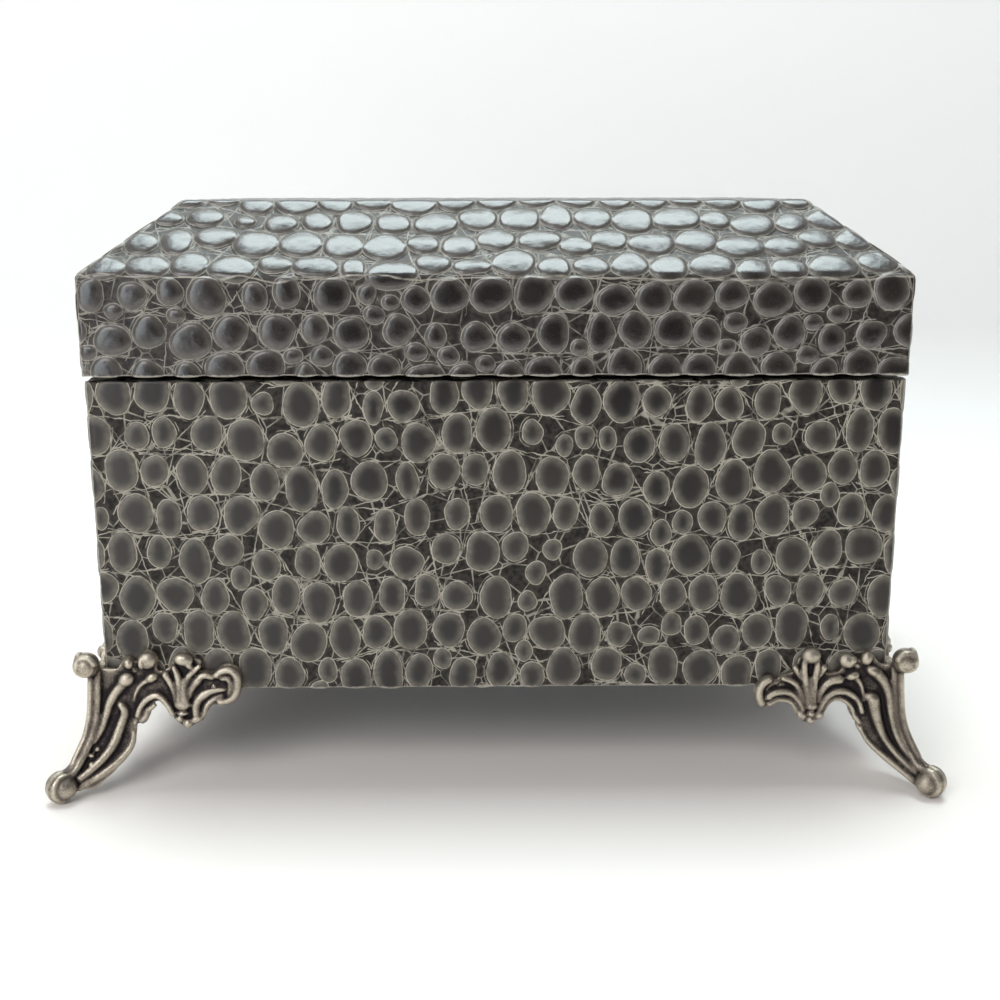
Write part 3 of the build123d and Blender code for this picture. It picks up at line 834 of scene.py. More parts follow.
@dataclass(frozen=True)
class GlazedHide(Finish):
    """The croc-embossed hide: dark glazed tiles that lighten towards their rims, partly rubbed colour and
    partly painted highlight, pale rims and creases, and painted shade in the ground between.
    """

    # Painted shade: the ground's darkest tone, away from the tiles' edges.
    deep: Colour = (0.011, 0.009, 0.008, 1)
    ground: Colour = (0.050, 0.043, 0.036, 1)
    tile: Colour = (0.008, 0.006, 0.006, 1)
    tile_light: Colour = (0.030, 0.024, 0.021, 1)
    # Partly rubbed colour, partly painted highlight: the lighter tone that each tile takes towards its rim.
    rubbed: Colour = (0.175, 0.158, 0.130, 1)
    line: Colour = (0.38, 0.35, 0.29, 1)
    frayed: Colour = (0.36, 0.33, 0.28, 1)
    roughness: float = 0.34
    gloss: float = 0.4
    swell: float = 0.3
    wrinkles: float = 0.1

    @staticmethod
    def pattern() -> str:
        """Builds the node group that reads the pressed pattern, once.

        Returns:
            The group's name.
        """
        name = "pressed scales"
        if name in bpy.data.node_groups:
            return name
        graph = Graph(bpy.data.node_groups.new(name, "ShaderNodeTree"))
        inputs = ("INPUT", "NodeSocketVector", (*TILES, *LINES, "Place"))
        outputs = ("OUTPUT", "NodeSocketFloat", ("Inside", "Rim", "Crease", "Height", "Tone"))
        for way, kind, labels in (inputs, outputs):
            for label in labels:
                graph.tree.interface.new_socket(name=label, in_out=way, socket_type=kind)
        given = graph.node("NodeGroupInput").outputs
        place = given["Place"]
        wander = graph.centred(graph.noise(place, 0.42, 1.5))
        inside = graph.largest(*(channel for label in TILES for channel in graph.parts(given[label])))
        inside = graph.plus(inside, wander, 0.5)
        *pairs, tone = [channel for label in LINES for channel in graph.parts(given[label])]
        width = graph.step(graph.noise(place, 0.25), 0.3, 0.7, 0.05, 0.17)
        outer = graph.math("ADD", width, 0.12)
        drawn = []
        for across, reach in zip(pairs[::2], pairs[1::2]):
            sharp = graph.band(graph.plus(across, wander, 1.3), outer, width)
            drawn.append(graph.product(sharp, graph.step(reach, 0.55, 1.0)))
        crease = graph.product(graph.largest(*drawn), graph.step(inside, 0.5, -0.1))
        wall = graph.plus(graph.cracks(place, 0.125), wander, 0.05)
        net = graph.product(graph.step(wall, 0.03, 0.012, 0.0, 0.75), graph.step(inside, -0.1, -0.4))
        second_rim = graph.band(graph.math("ADD", inside, 0.85), 0.2, 0.05)
        second_rim = graph.product(second_rim, graph.step(graph.noise(place, 0.09, 1.0), 0.57, 0.62))
        crease = graph.largest(crease, net, second_rim)
        rim = graph.band(inside, 0.22, 0.05)
        height = graph.plus(graph.step(inside, -0.4, 1.1), graph.largest(crease, rim), 0.12)
        found = {"Inside": inside, "Rim": rim, "Crease": crease, "Height": height, "Tone": tone}
        graph.node("NodeGroupOutput", found)
        return name

    def look(self, graph: Graph) -> dict[str, Value]:
        """Tones of the tiles with a painted highlight towards their rims, the ground between them with
        painted shade, pale lines, worn edges, gloss and wrinkles.

        Args:
            graph: The material's graph.

        Returns:
            The shader's inputs by name.
        """
        place = graph.place()
        read = {label: graph.attribute(label) for label in (*TILES, *LINES)}
        corner, rim_fold, shoulder = graph.parts(graph.attribute(HIDE_EDGES))
        found = graph.group(self.pattern(), {**read, "Place": place})
        inside, height = found["Inside"], found["Height"]
        grain = graph.noise(place, 3.2)
        fine = graph.noise(place, 0.6, 4.0)
        cloud = graph.step(graph.noise(place, 0.018, 3.0), 0.35, 0.65, 0.0, 0.5)
        tile = graph.mixed(graph.plus(cloud, found["Tone"], 0.45, clamp=True), self.tile, self.tile_light)
        # Painted highlight, partly rubbed colour: each tile lightens from its dark middle towards its rim.
        rub_and_highlight = graph.math("POWER", graph.step(inside, 4.2, -0.6), 1.7)
        tile = graph.mixed(graph.product(rub_and_highlight, graph.step(fine, 0.25, 0.65, 0.6, 1.0)), tile, self.rubbed)
        # Painted shade in the gaps: the ground is darker away from the tiles and lighter near their edges,
        # broken up by noise.
        near = graph.step(inside, -1.8, -0.2, 0.0, 0.45)
        near = graph.math("ADD", near, graph.step(fine, 0.38, 0.62, 0.0, 0.55))
        ground = graph.mixed(near, self.deep, self.ground)
        colour = graph.mixed(graph.step(inside, -0.15, 0.1), ground, tile)
        broken = graph.step(graph.noise(place, 0.3, 2.5), 0.3, 0.6, 0.3, 1.0)
        lines = graph.largest(found["Rim"], graph.product(found["Crease"], 0.85))
        colour = graph.mixed(graph.product(lines, broken), colour, self.line)
        worn_fold = graph.step(graph.plus(rim_fold, fine, -1.1), 0.35, -0.15)
        worn_corner = graph.step(graph.plus(corner, fine, -0.9), 0.2, -0.2)
        drift = graph.centred(graph.noise(place, 0.05, 3.0))
        fold_line = graph.product(graph.band(graph.plus(shoulder, drift, 9.0), 0.5, 0.1), broken)
        frayed = graph.product(graph.largest(worn_fold, worn_corner, fold_line), 0.75)
        relief = graph.plus(graph.plus(height, grain, 0.02), fine, self.wrinkles)
        relief = graph.plus(relief, graph.noise(place, 0.16, 1.5), self.swell)
        return {
            "Base Color": graph.mixed(frayed, colour, self.frayed),
            "Specular IOR Level": graph.step(height, 0.0, 1.0, 0.45 * self.gloss, self.gloss),
            "Roughness": graph.plus(graph.plus(self.roughness + 0.17, height, -0.18), grain, 0.12),
            "Normal": graph.bump(relief, 0.6, 0.35),
        }


@dataclass(frozen=True)
class FoldPath:
    """The way a hide runs over its boards in section: corner points (out, up) and their roundings."""

    points: tuple[tuple[float, float], ...]
    roundings: tuple[float, ...]

    def traced(self, pitch: float = 0.02) -> np.ndarray:
        """Traces the path.

        Args:
            pitch: Distance between traced points.

        Returns:
            Rows of distance along the path, out, up, and the outward normal's out and up.
        """
        rows = []
        start = np.array(self.points[0])
        for index, rounding in enumerate((*self.roundings, 0.0)):
            corner = np.array(self.points[index + 1])
            way = (corner - start) / np.linalg.norm(corner - start)
            if index < len(self.roundings):
                after = np.array(self.points[index + 2]) - corner
                after /= np.linalg.norm(after)
                turn = math.acos(float(np.clip(way @ after, -1, 1)))
                trim = rounding * math.tan(turn / 2)
            else:
                after, turn, trim = way, 0.0, 0.0
            end = corner - way * trim
            length = float(np.linalg.norm(end - start))
            for share in np.arange(0, length, pitch):
                rows.append((*(start + way * share), way[1], -way[0]))
            if turn:
                normal = np.array((way[1], -way[0]))
                centre = end - normal * rounding
                for angle in np.arange(0, turn, pitch / rounding):
                    out = normal * math.cos(angle) + way * math.sin(angle)
                    rows.append((*(centre + out * rounding), *out))
            start = corner + after * trim if turn else end
        rows.append((*start, way[1], -way[0]))
        traced = np.array(rows)
        steps = np.linalg.norm(np.diff(traced[:, :2], axis=0), axis=1)
        return np.column_stack((np.concatenate(([0], np.cumsum(steps))), traced))


@dataclass(frozen=True)
class Notch:
    """A pair of cut-outs in the back sheet, where the hinges' leaves pass."""

    along: Pair
    up: Pair
    out: float

    def holds(self, along: np.ndarray, up: np.ndarray, out: np.ndarray) -> np.ndarray:
        """Which points lie in either cut-out."""
        level = (np.abs(along) > self.along[0]) & (np.abs(along) < self.along[1])
        return level & (up > self.up[0]) & (up < self.up[1]) & (out > self.out)


@dataclass
class SideHide:
    """One sheet of hide, folded over one side of the base or the lid."""

    body: Body
    side: Side
    half_width: float
    half_depth: float
    path: FoldPath
    corner: float = 2.8
    least_corner: float = 0.25
    sloped: float = 0.0
    pitch: float = 0.7
    tucked: float = 1.0
    calm_zone: float = 4.0
    calm_share: float = 0.4
    notch: Notch | None = None

    def halves(self) -> Pair:
        """Half sizes of the box: along this side, and out from its middle."""
        sizes = (self.half_width, self.half_depth)
        return sizes if self.side.long else sizes[::-1]

    def build(
        self, scales: PressedScales, tiles: Tiles, flat_place: Callable, finish: bpy.types.Material
    ) -> Thing:
        """Makes the sheet flat, presses it and folds it over its boards.

        Args:
            scales: The pattern that is pressed in.
            tiles: The tiles of the flat hide.
            flat_place: Gives the place on the hide from distance along the side and along the path.
            finish: The sheet's material.

        Returns:
            The folded sheet.
        """
        name = f"{self.body.value}_hide_{self.side.label}"
        along_half, out_half = self.halves()
        traced = self.path.traced()
        length = traced[-1, 0]
        sheet = grid(name, round(2 * along_half / self.pitch), round(length / self.pitch))
        flat = places_of(sheet.data)
        run = (flat[:, 1] + 1) / 2 * length
        out, up, normal_out, normal_up = (np.interp(run, traced[:, 0], traced[:, i]) for i in (1, 2, 3, 4))
        size = np.maximum(np.hypot(normal_out, normal_up), TINY)
        normal_out, normal_up = normal_out / size, normal_up / size
        radius = np.maximum(self.corner + out, self.least_corner)
        if self.sloped:
            radius = np.where(up > self.sloped, self.corner, radius)
        straight = along_half + out - radius
        half = straight + radius * math.pi / 4
        across = flat[:, 0] * half
        turn = np.clip((np.abs(across) - straight) / radius, 0, math.pi / 4) * np.sign(across)
        first_fold, last_fold = self.folds(traced)
        shoulder = run - last_fold if self.sloped else np.full_like(run, WELL_CLEAR)
        edges = np.column_stack((half - np.abs(across), np.abs(run - first_fold), shoulder))
        store(sheet.data, HIDE_EDGES, edges)
        depth = scales.pressed(sheet.data, flat_place(across, run), tiles)
        calm = np.clip(edges[:, 0] / self.calm_zone, 0, 1)
        depth = depth * (self.calm_share + (1 - self.calm_share) * calm * calm * (3 - 2 * calm))
        depth = np.where(np.minimum(run, length - run) < self.pitch / 2, self.tucked, depth)
        along = np.clip(across, -straight, straight) + radius * np.sin(turn)
        along -= normal_out * np.sin(turn) * depth
        away = out_half + out - radius + radius * np.cos(turn) - normal_out * np.cos(turn) * depth
        up = up - normal_up * depth
        plan = np.outer(along, self.side.along) + np.outer(away, self.side.out)
        set_places(sheet.data, np.column_stack((plan, up)) * MM)
        if self.notch:
            self.cut(sheet, self.notch.holds(along, up, away))
        choose(sheet)
        bpy.ops.object.shade_smooth()
        return settle(sheet, name, self.body, finish, [self.body.value + "_leather"])

    @staticmethod
    def cut(sheet: Thing, gone: np.ndarray) -> None:
        """Cuts points out of a sheet.

        Args:
            sheet: The sheet.
            gone: Whether each point goes.
        """
        with whole_mesh(sheet):
            bpy.ops.mesh.select_mode(type="VERT")
            bpy.ops.mesh.select_all(action="DESELECT")
        sheet.data.vertices.foreach_set("select", gone)
        bpy.ops.object.mode_set(mode="EDIT")
        bpy.ops.mesh.delete(type="VERT")
        bpy.ops.object.mode_set(mode="OBJECT")

    @staticmethod
    def folds(traced: np.ndarray, turned: float = 0.7, upright: float = 0.97) -> Pair:
        """Finds the folds by how far out the path's normal points.

        Args:
            traced: The traced path.
            turned: What the normal's way out has reached at the middle of the first fold.
            upright: What it is at least on the upright side.

        Returns:
            Distances along the path to the middle of its first fold and to where it leaves the upright.
        """
        first = np.argmax(traced[:, 3] > turned)
        last = np.flatnonzero(traced[:, 3] > upright)[-1]
        return float(traced[first, 0]), float(traced[last, 0])


# Covers


@dataclass
class BaseCover:
    """The hide round the base: under the bottom edge, up the sides and over the rim."""

    half_width: float = 127.0
    half_depth: float = 89.0
    bottom: float = 33.0
    rim: float = 133.6
    turn_under: float = 12.0
    rim_width: float = 10.2
    corner: float = 2.8
    rounding: float = 0.3
    margins: tuple[Pair, Pair] = ((20.0, 8.0), (10.0, 8.0))
    notch: Notch = Notch((60.4, 89.6), (129.0, 140.0), 80.4)
    scales: PressedScales = PressedScales((11.2, 12.8), (4.9, 6.1), 11)

    def build(self) -> list[Thing]:
        """Builds the four sides of the cover.

        Returns:
            The four pieces.
        """
        finish = GlazedHide("base croc leather").material()
        path = FoldPath(
            ((-self.turn_under, self.bottom), (0, self.bottom), (0, self.rim), (-self.rim_width, self.rim)),
            (self.rounding, self.rounding),
        )
        round_trip = 4 * (self.half_width + self.half_depth)
        before, after = np.array(self.margins)
        tiles = self.scales.tiles(-before, after + (round_trip, path.traced()[-1, 0]))
        made = []
        start = 0.0
        for side in Side:
            sheet = SideHide(Body.BASE, side, self.half_width, self.half_depth, path, self.corner)
            sheet.notch = self.notch if side is Side.BACK else None
            half = sheet.halves()[0] - self.corner + self.corner * math.pi / 4

            def place(across: np.ndarray, run: np.ndarray, middle: float = start + half) -> np.ndarray:
                """Runs the hide on round the corners."""
                return np.column_stack((across + middle, run))

            made.append(sheet.build(self.scales, tiles, place, finish))
            start += 2 * half
        return made


@dataclass
class LidCover:
    """The hide over the lid: over the rim, up the slope and across the flat top."""

    half_width: float = 127.8
    half_depth: float = 89.8
    low: float = 134.6
    hip: float = 165.5
    top: float = 187.6
    hip_inset: float = 28.0
    rim_width: float = 10.2
    corner: float = 2.8
    rounding: float = 0.3
    shoulder: float = 3.0
    crown: float = 3.0
    top_overlap: float = 3.0
    margin: float = 6.0
    notch: Notch = Notch((60.4, 89.6), (130.0, 139.2), 80.4)
    scales: PressedScales = PressedScales(
        (12.2, 10.4), (6.5, 5.4), 5, 0.35, 0.9, 0.8, relief=0.95, rim_width=1.3, crown_share=0.5, gap=0.4,
        hole=3.0, small_share=0.05, rim_zone=(135.0, 97.0)
    )
    # The lid tiles' lighter tone towards their rims is partly rubbed colour, partly painted highlight.
    finish: GlazedHide = GlazedHide(
        "lid croc leather", rubbed=(0.115, 0.105, 0.092, 1), line=(0.28, 0.262, 0.225, 1), roughness=0.20,
        gloss=0.68, swell=1.6, wrinkles=0.32
    )

    def build(self) -> list[Thing]:
        """Builds the four sides and the top of the cover.

        Returns:
            The five pieces.
        """
        finish = self.finish.material()
        inner = -self.hip_inset - self.top_overlap
        path = FoldPath(
            (
                (-self.rim_width, self.low), (0, self.low), (0, self.hip), (-self.hip_inset, self.top),
                (inner, self.top),
            ),
            (self.rounding, self.shoulder, self.crown),
        )
        length = path.traced()[-1, 0]
        top = np.array((self.half_width, self.half_depth)) + inner
        reach = top + length + self.margin
        tiles = self.scales.tiles(-reach, reach)
        made = []
        for side in Side:
            sheet = SideHide(Body.LID, side, self.half_width, self.half_depth, path, self.corner)
            sheet.sloped = self.hip
            sheet.notch = self.notch if side is Side.BACK else None
            rolled_out = top[1 if side.long else 0] + length

            def place(
                across: np.ndarray, run: np.ndarray, side: Side = side, rolled_out: float = rolled_out
            ) -> np.ndarray:
                """Lays the side out flat round the top."""
                return np.outer(across, side.along) + np.outer(rolled_out - run, side.out)

            made.append(sheet.build(self.scales, tiles, place, finish))
        made.append(self.top_sheet(finish, top, tiles))
        return made

    def top_sheet(
        self, finish: bpy.types.Material, half: np.ndarray, tiles: Tiles, pitch: float = 0.7
    ) -> Thing:
        """Builds the flat sheet between the four crowns.

        Args:
            finish: Its material.
            half: Its half sizes.
            tiles: The tiles of the flat hide.
            pitch: Distance between its vertices.

        Returns:
            The piece.
        """
        name = "lid_hide_top"
        sheet = grid(name, *(round(2 * size / pitch) for size in half))
        plan = places_of(sheet.data)[:, :2] * half
        store(sheet.data, HIDE_EDGES, np.full((len(plan), 3), WELL_CLEAR))
        depth = self.scales.pressed(sheet.data, plan, tiles)
        set_places(sheet.data, np.column_stack((plan, self.top - depth)) * MM)
        choose(sheet)
        bpy.ops.object.shade_smooth()
        return settle(sheet, name, Body.LID, finish, ["lid_leather"])


# Cast feet

WORN = "worn"
OUTWARD = np.array((1, -1, 0)) / math.sqrt(2)
ACROSS = np.array((1, 1, 0)) / math.sqrt(2)
UP = np.array((0, 0, 1))


@dataclass(frozen=True)
class Strand:
    """A round strand of the casting: its path (inboard, up) and its radii at start, middle and end."""

    path: tuple[Pair, ...]
    radii: Triple = (1.0, 1.2, 1.0)
    lift: float = 0.55

    def widths(self) -> list[float]:
        """The radius at each point of the path."""
        shares = np.linspace(0, 1, len(self.path))
        return [float(radius) for radius in np.interp(shares, (0, 0.5, 1), self.radii)]


@dataclass(frozen=True)
class Knob:
    """A rounded lump of the casting: its place (inboard, up), half sizes, turn in degrees and lift."""

    place: Pair
    half: Pair
    turn: float = 0.0
    lift: float = 0.2
    thick: float = 1.6


@dataclass(frozen=True)
class Wing:
    """One wing of the foot and its flank of the leg."""

    outline: tuple[Pair, ...]
    strands: tuple[Strand, ...]
    knobs: tuple[Knob, ...]
    trim: float = 0.0


SHORT_WING = Wing(
    outline=(
        (0.5, 7.0), (3.4, 8.6), (7.6, 12.4), (10.9, 9.6), (13.8, 12.0), (16.6, 10.2), (15.8, 6.4),
        (18.0, 5.4), (20.6, 5.6), (22.0, 8.6), (23.2, 11.2), (26.1, 14.2), (29.0, 11.2), (30.6, 8.4),
        (32.0, 5.4), (34.8, 4.8), (36.8, 3.4), (38.9, 4.5), (41.7, 3.0), (43.5, 0.5), (43.7, -2.5),
        (42.2, -5.8), (39.6, -6.4), (37.5, -5.2), (34.5, -4.5), (32.0, -5.3), (30.2, -8.2),
        (28.4, -10.6), (25.2, -12.0), (22.0, -10.2), (20.3, -7.6), (18.2, -4.7), (16.0, -4.1),
        (13.8, -5.2), (12.3, -8.4), (10.6, -10.8), (8.4, -11.6), (2.0, -12.0), (0.5, -6.0),
    ),
    strands=(
        Strand(((22.4, -7.2), (20.6, -3.6), (18.0, -1.3), (15.1, -0.8), (12.2, -2.0), (9.8, -4.3),
            (8.4, -8.0)), (1.0, 1.35, 0.9)),
        Strand(((20.9, -7.4), (18.9, -4.3), (16.1, -3.4), (13.7, -4.5), (11.6, -6.9), (10.8, -9.6)),
            (0.7, 0.95, 0.8), 0.1),
        Strand(((27.6, -7.2), (29.3, -3.9), (32.2, -1.3), (35.1, -0.9), (38.0, -1.7), (39.3, -2.9)),
            (1.0, 1.3, 1.15)),
        Strand(((29.4, -7.8), (31.6, -4.6), (34.1, -3.7), (37.1, -4.0), (38.9, -5.2)), (0.8, 0.95, 1.1),
            0.1),
        Strand(((38.9, 3.4), (41.5, 1.3), (42.2, -2.0), (41.2, -5.0)), (1.1, 1.5, 1.3)),
        Strand(((34.3, 1.4), (36.4, 2.1), (38.4, 1.5), (39.7, -0.4)), (0.6, 0.85, 0.6), 0.0),
        Strand(((34.8, 3.8), (31.0, 2.2), (28.6, -1.4), (27.3, -4.6)), (0.9, 1.35, 0.9)),
        Strand(((16.0, 3.4), (19.6, 2.4), (22.0, -0.6), (22.9, -4.2)), (1.6, 1.45, 0.9)),
        Strand(((27.9, 10.8), (28.1, 7.4), (27.6, 3.6), (26.6, -1.0), (26.0, -5.2)), (1.0, 1.3, 1.25),
            0.9),
        Strand(((24.1, 10.8), (24.0, 7.4), (24.5, 3.6), (24.6, -1.0), (24.7, -5.2)), (1.0, 1.3, 1.25),
            0.9),
        Strand(((28.3, 3.4), (29.9, 5.4), (31.0, 7.6)), (1.0, 0.85, 1.1)),
        Strand(((23.9, 3.4), (22.4, 5.4), (21.5, 7.6)), (1.0, 0.85, 1.2)),
        Strand(((12.0, 4.6), (9.8, 2.2), (8.5, -1.0), (7.9, -4.0)), (1.2, 0.8, 0.5), 0.4),
        Strand(((4.4, 5.4), (2.0, 2.6), (0.2, -1.6), (-0.5, -6.0), (-1.4, -10.5), (-3.0, -15.5),
            (-5.6, -19.8), (-9.4, -23.6)), (1.9, 1.45, 1.3), 0.4),
        Strand(((5.2, -3.2), (4.3, -7.6), (3.0, -12.0), (1.4, -15.8), (-1.4, -19.6), (-4.8, -23.0),
            (-9.0, -26.2)), (2.3, 1.25, 1.3), 0.3),
        Strand(((26.0, 3.6), (25.5, -0.8), (25.3, -5.0)), (1.2, 1.6, 1.4), 0.7),
        Strand(((11.3, -7.6), (10.2, -10.0), (8.8, -11.8)), (0.9, 1.2, 0.7), -0.2),
        Strand(((8.6, -13.4), (6.6, -17.0), (2.6, -20.8), (-2.2, -24.4), (-6.4, -27.4), (-9.6, -29.6)),
            (0.9, 1.25, 1.2), -0.3),
    ),
    knobs=(
        Knob((26.0, 11.6), (3.1, 2.7), lift=0.9, thick=2.1),
        Knob((14.1, 9.6), (2.9, 2.4), 20, 0.5, 1.9),
        Knob((12.6, 10.0), (1.3, 1.6), 40, 1.0, 1.6),
        Knob((7.9, 10.4), (1.9, 2.3), 10, 0.4),
        Knob((12.1, 4.5), (2.3, 1.35), -20, 0.5),
        Knob((5.4, 5.9), (2.7, 1.7), 30, 0.6),
        Knob((25.1, -5.6), (2.0, 1.5), lift=0.9),
        Knob((22.4, -8.8), (1.9, 1.7), -30),
        Knob((27.9, -8.9), (1.9, 1.7), 30),
        Knob((25.1, -10.4), (1.6, 1.6)),
        Knob((25.1, -8.2), (1.5, 1.3), lift=0.6),
        Knob((5.5, -3.0), (2.6, 1.9), 15, 0.2, 1.9),
    ),
    trim=5.0,
)

LONG_WING = Wing(
    outline=(
        (0.5, 6.4), (4.6, 7.8), (8.8, 12.2), (11.4, 10.6), (14.8, 14.3), (18.2, 11.6), (18.0, 7.6),
        (20.2, 7.6), (22.4, 9.6), (23.8, 12.6), (26.6, 14.0), (29.6, 11.6), (32.2, 10.2), (31.2, 7.8),
        (33.4, 7.2), (35.8, 7.0), (38.6, 9.0), (41.6, 9.4), (44.0, 7.4), (44.6, 3.4), (43.9, -1.2),
        (41.4, -3.9), (37.6, -4.7), (35.0, -4.6), (33.4, -6.6), (31.8, -9.4), (28.8, -11.2),
        (26.8, -12.4), (24.0, -10.8), (21.6, -8.0), (19.3, -4.2), (17.2, -3.1), (15.6, -4.4),
        (14.4, -8.2), (12.4, -10.8), (10.6, -10.6), (8.4, -11.6), (2.0, -12.0), (0.5, -6.0),
    ),
    strands=(
        Strand(((22.2, -7.4), (20.1, -3.4), (17.6, -1.0), (14.6, -1.8), (12.0, -4.6), (10.6, -8.0)),
            (1.0, 1.3, 1.0)),
        Strand(((16.4, -4.4), (14.0, -6.2), (12.8, -8.6), (11.6, -9.8)), (0.8, 1.2, 0.9), 0.0),
        Strand(((29.6, -7.6), (30.1, -3.4), (32.3, -0.8), (35.5, 0.6), (39.0, 1.0)), (1.3, 1.6, 0.7)),
        Strand(((31.8, -8.0), (33.4, -4.2), (35.8, -2.3), (38.4, -1.2)), (1.0, 1.0, 0.7), 0.1),
        Strand(((36.6, 5.8), (38.9, 7.3), (41.4, 7.4), (43.1, 5.6), (43.2, 2.4), (42.4, -0.8),
            (40.4, -2.6), (37.2, -3.4)), (1.3, 1.5, 1.0)),
        Strand(((38.2, 4.8), (40.6, 4.4), (41.2, 1.8), (40.4, -0.6)), (0.9, 1.2, 0.8), 0.4),
        Strand(((35.6, 5.2), (32.6, 5.8), (30.4, 3.8), (28.6, 1.2), (27.6, -1.6)), (1.0, 1.5, 0.9)),
        Strand(((31.6, 9.2), (29.6, 7.4), (27.8, 5.4), (26.6, 2.6)), (0.8, 1.15, 1.2), 0.7),
        Strand(((23.4, 8.8), (24.4, 6.2), (24.9, 2.2), (24.7, -2.4)), (0.9, 1.4, 1.6), 0.8),
        Strand(((26.4, 4.4), (26.0, 0.8), (26.2, -2.8)), (1.2, 1.5, 1.7), 0.9),
        Strand(((20.4, 6.4), (21.9, 3.6), (23.0, 0.2), (23.3, -3.2)), (1.2, 1.2, 0.8)),
        Strand(((16.2, 5.0), (13.2, 3.4), (11.0, 0.8), (9.8, -2.6)), (1.3, 0.8, 0.5), 0.3),
        Strand(((7.4, 4.0), (4.4, 0.6), (2.4, -2.8), (1.0, -6.8), (-0.6, -11.5), (-2.8, -15.5)),
            (1.9, 1.5, 0.8), 0.4),
        Strand(((5.6, -3.6), (6.7, -6.0), (5.7, -9.6), (4.6, -12.6), (3.2, -16.0), (0.6, -19.8),
            (-3.0, -23.2), (-7.0, -26.0)), (1.3, 1.8, 1.3), 0.3),
        Strand(((10.4, -8.4), (9.6, -10.4)), (0.9, 1.0, 0.8), -0.2),
        Strand(((9.2, -13.4), (8.4, -17.4), (5.4, -21.2), (1.0, -24.6), (-3.6, -27.2), (-7.4, -29.0)),
            (1.0, 1.5, 1.2), -0.3),
    ),
    knobs=(
        Knob((26.6, 11.4), (3.2, 2.1), -12, 0.9, 1.9),
        Knob((28.3, 9.8), (1.2, 1.9), 20, 0.8),
        Knob((14.9, 11.0), (3.0, 2.8), lift=0.6, thick=1.9),
        Knob((13.2, 10.4), (1.0, 2.2), lift=1.2),
        Knob((8.9, 10.0), (1.6, 1.9), 10, 0.3),
        Knob((16.0, 5.2), (2.2, 1.6), 25, 0.5),
        Knob((7.8, 4.6), (2.8, 2.3), 35, 0.8, 1.9),
        Knob((25.5, -3.8), (2.7, 2.1), lift=0.8, thick=1.8),
        Knob((25.4, -6.9), (2.1, 0.9), lift=0.4),
        Knob((24.4, -8.8), (1.4, 1.3), 20, 0.3),
        Knob((26.9, -10.4), (1.6, 1.7), -20, 0.3),
        Knob((29.7, -8.9), (2.1, 1.5), 25, 0.2),
        Knob((-1.8, -17.6), (1.0, 0.8), 30, 0.6, 1.0),
        Knob((-3.4, -19.4), (0.9, 0.8), 30, 0.6, 1.0),
        Knob((-3.6, -21.8), (0.9, 0.7), 30, 0.6, 1.0),
    ),
)


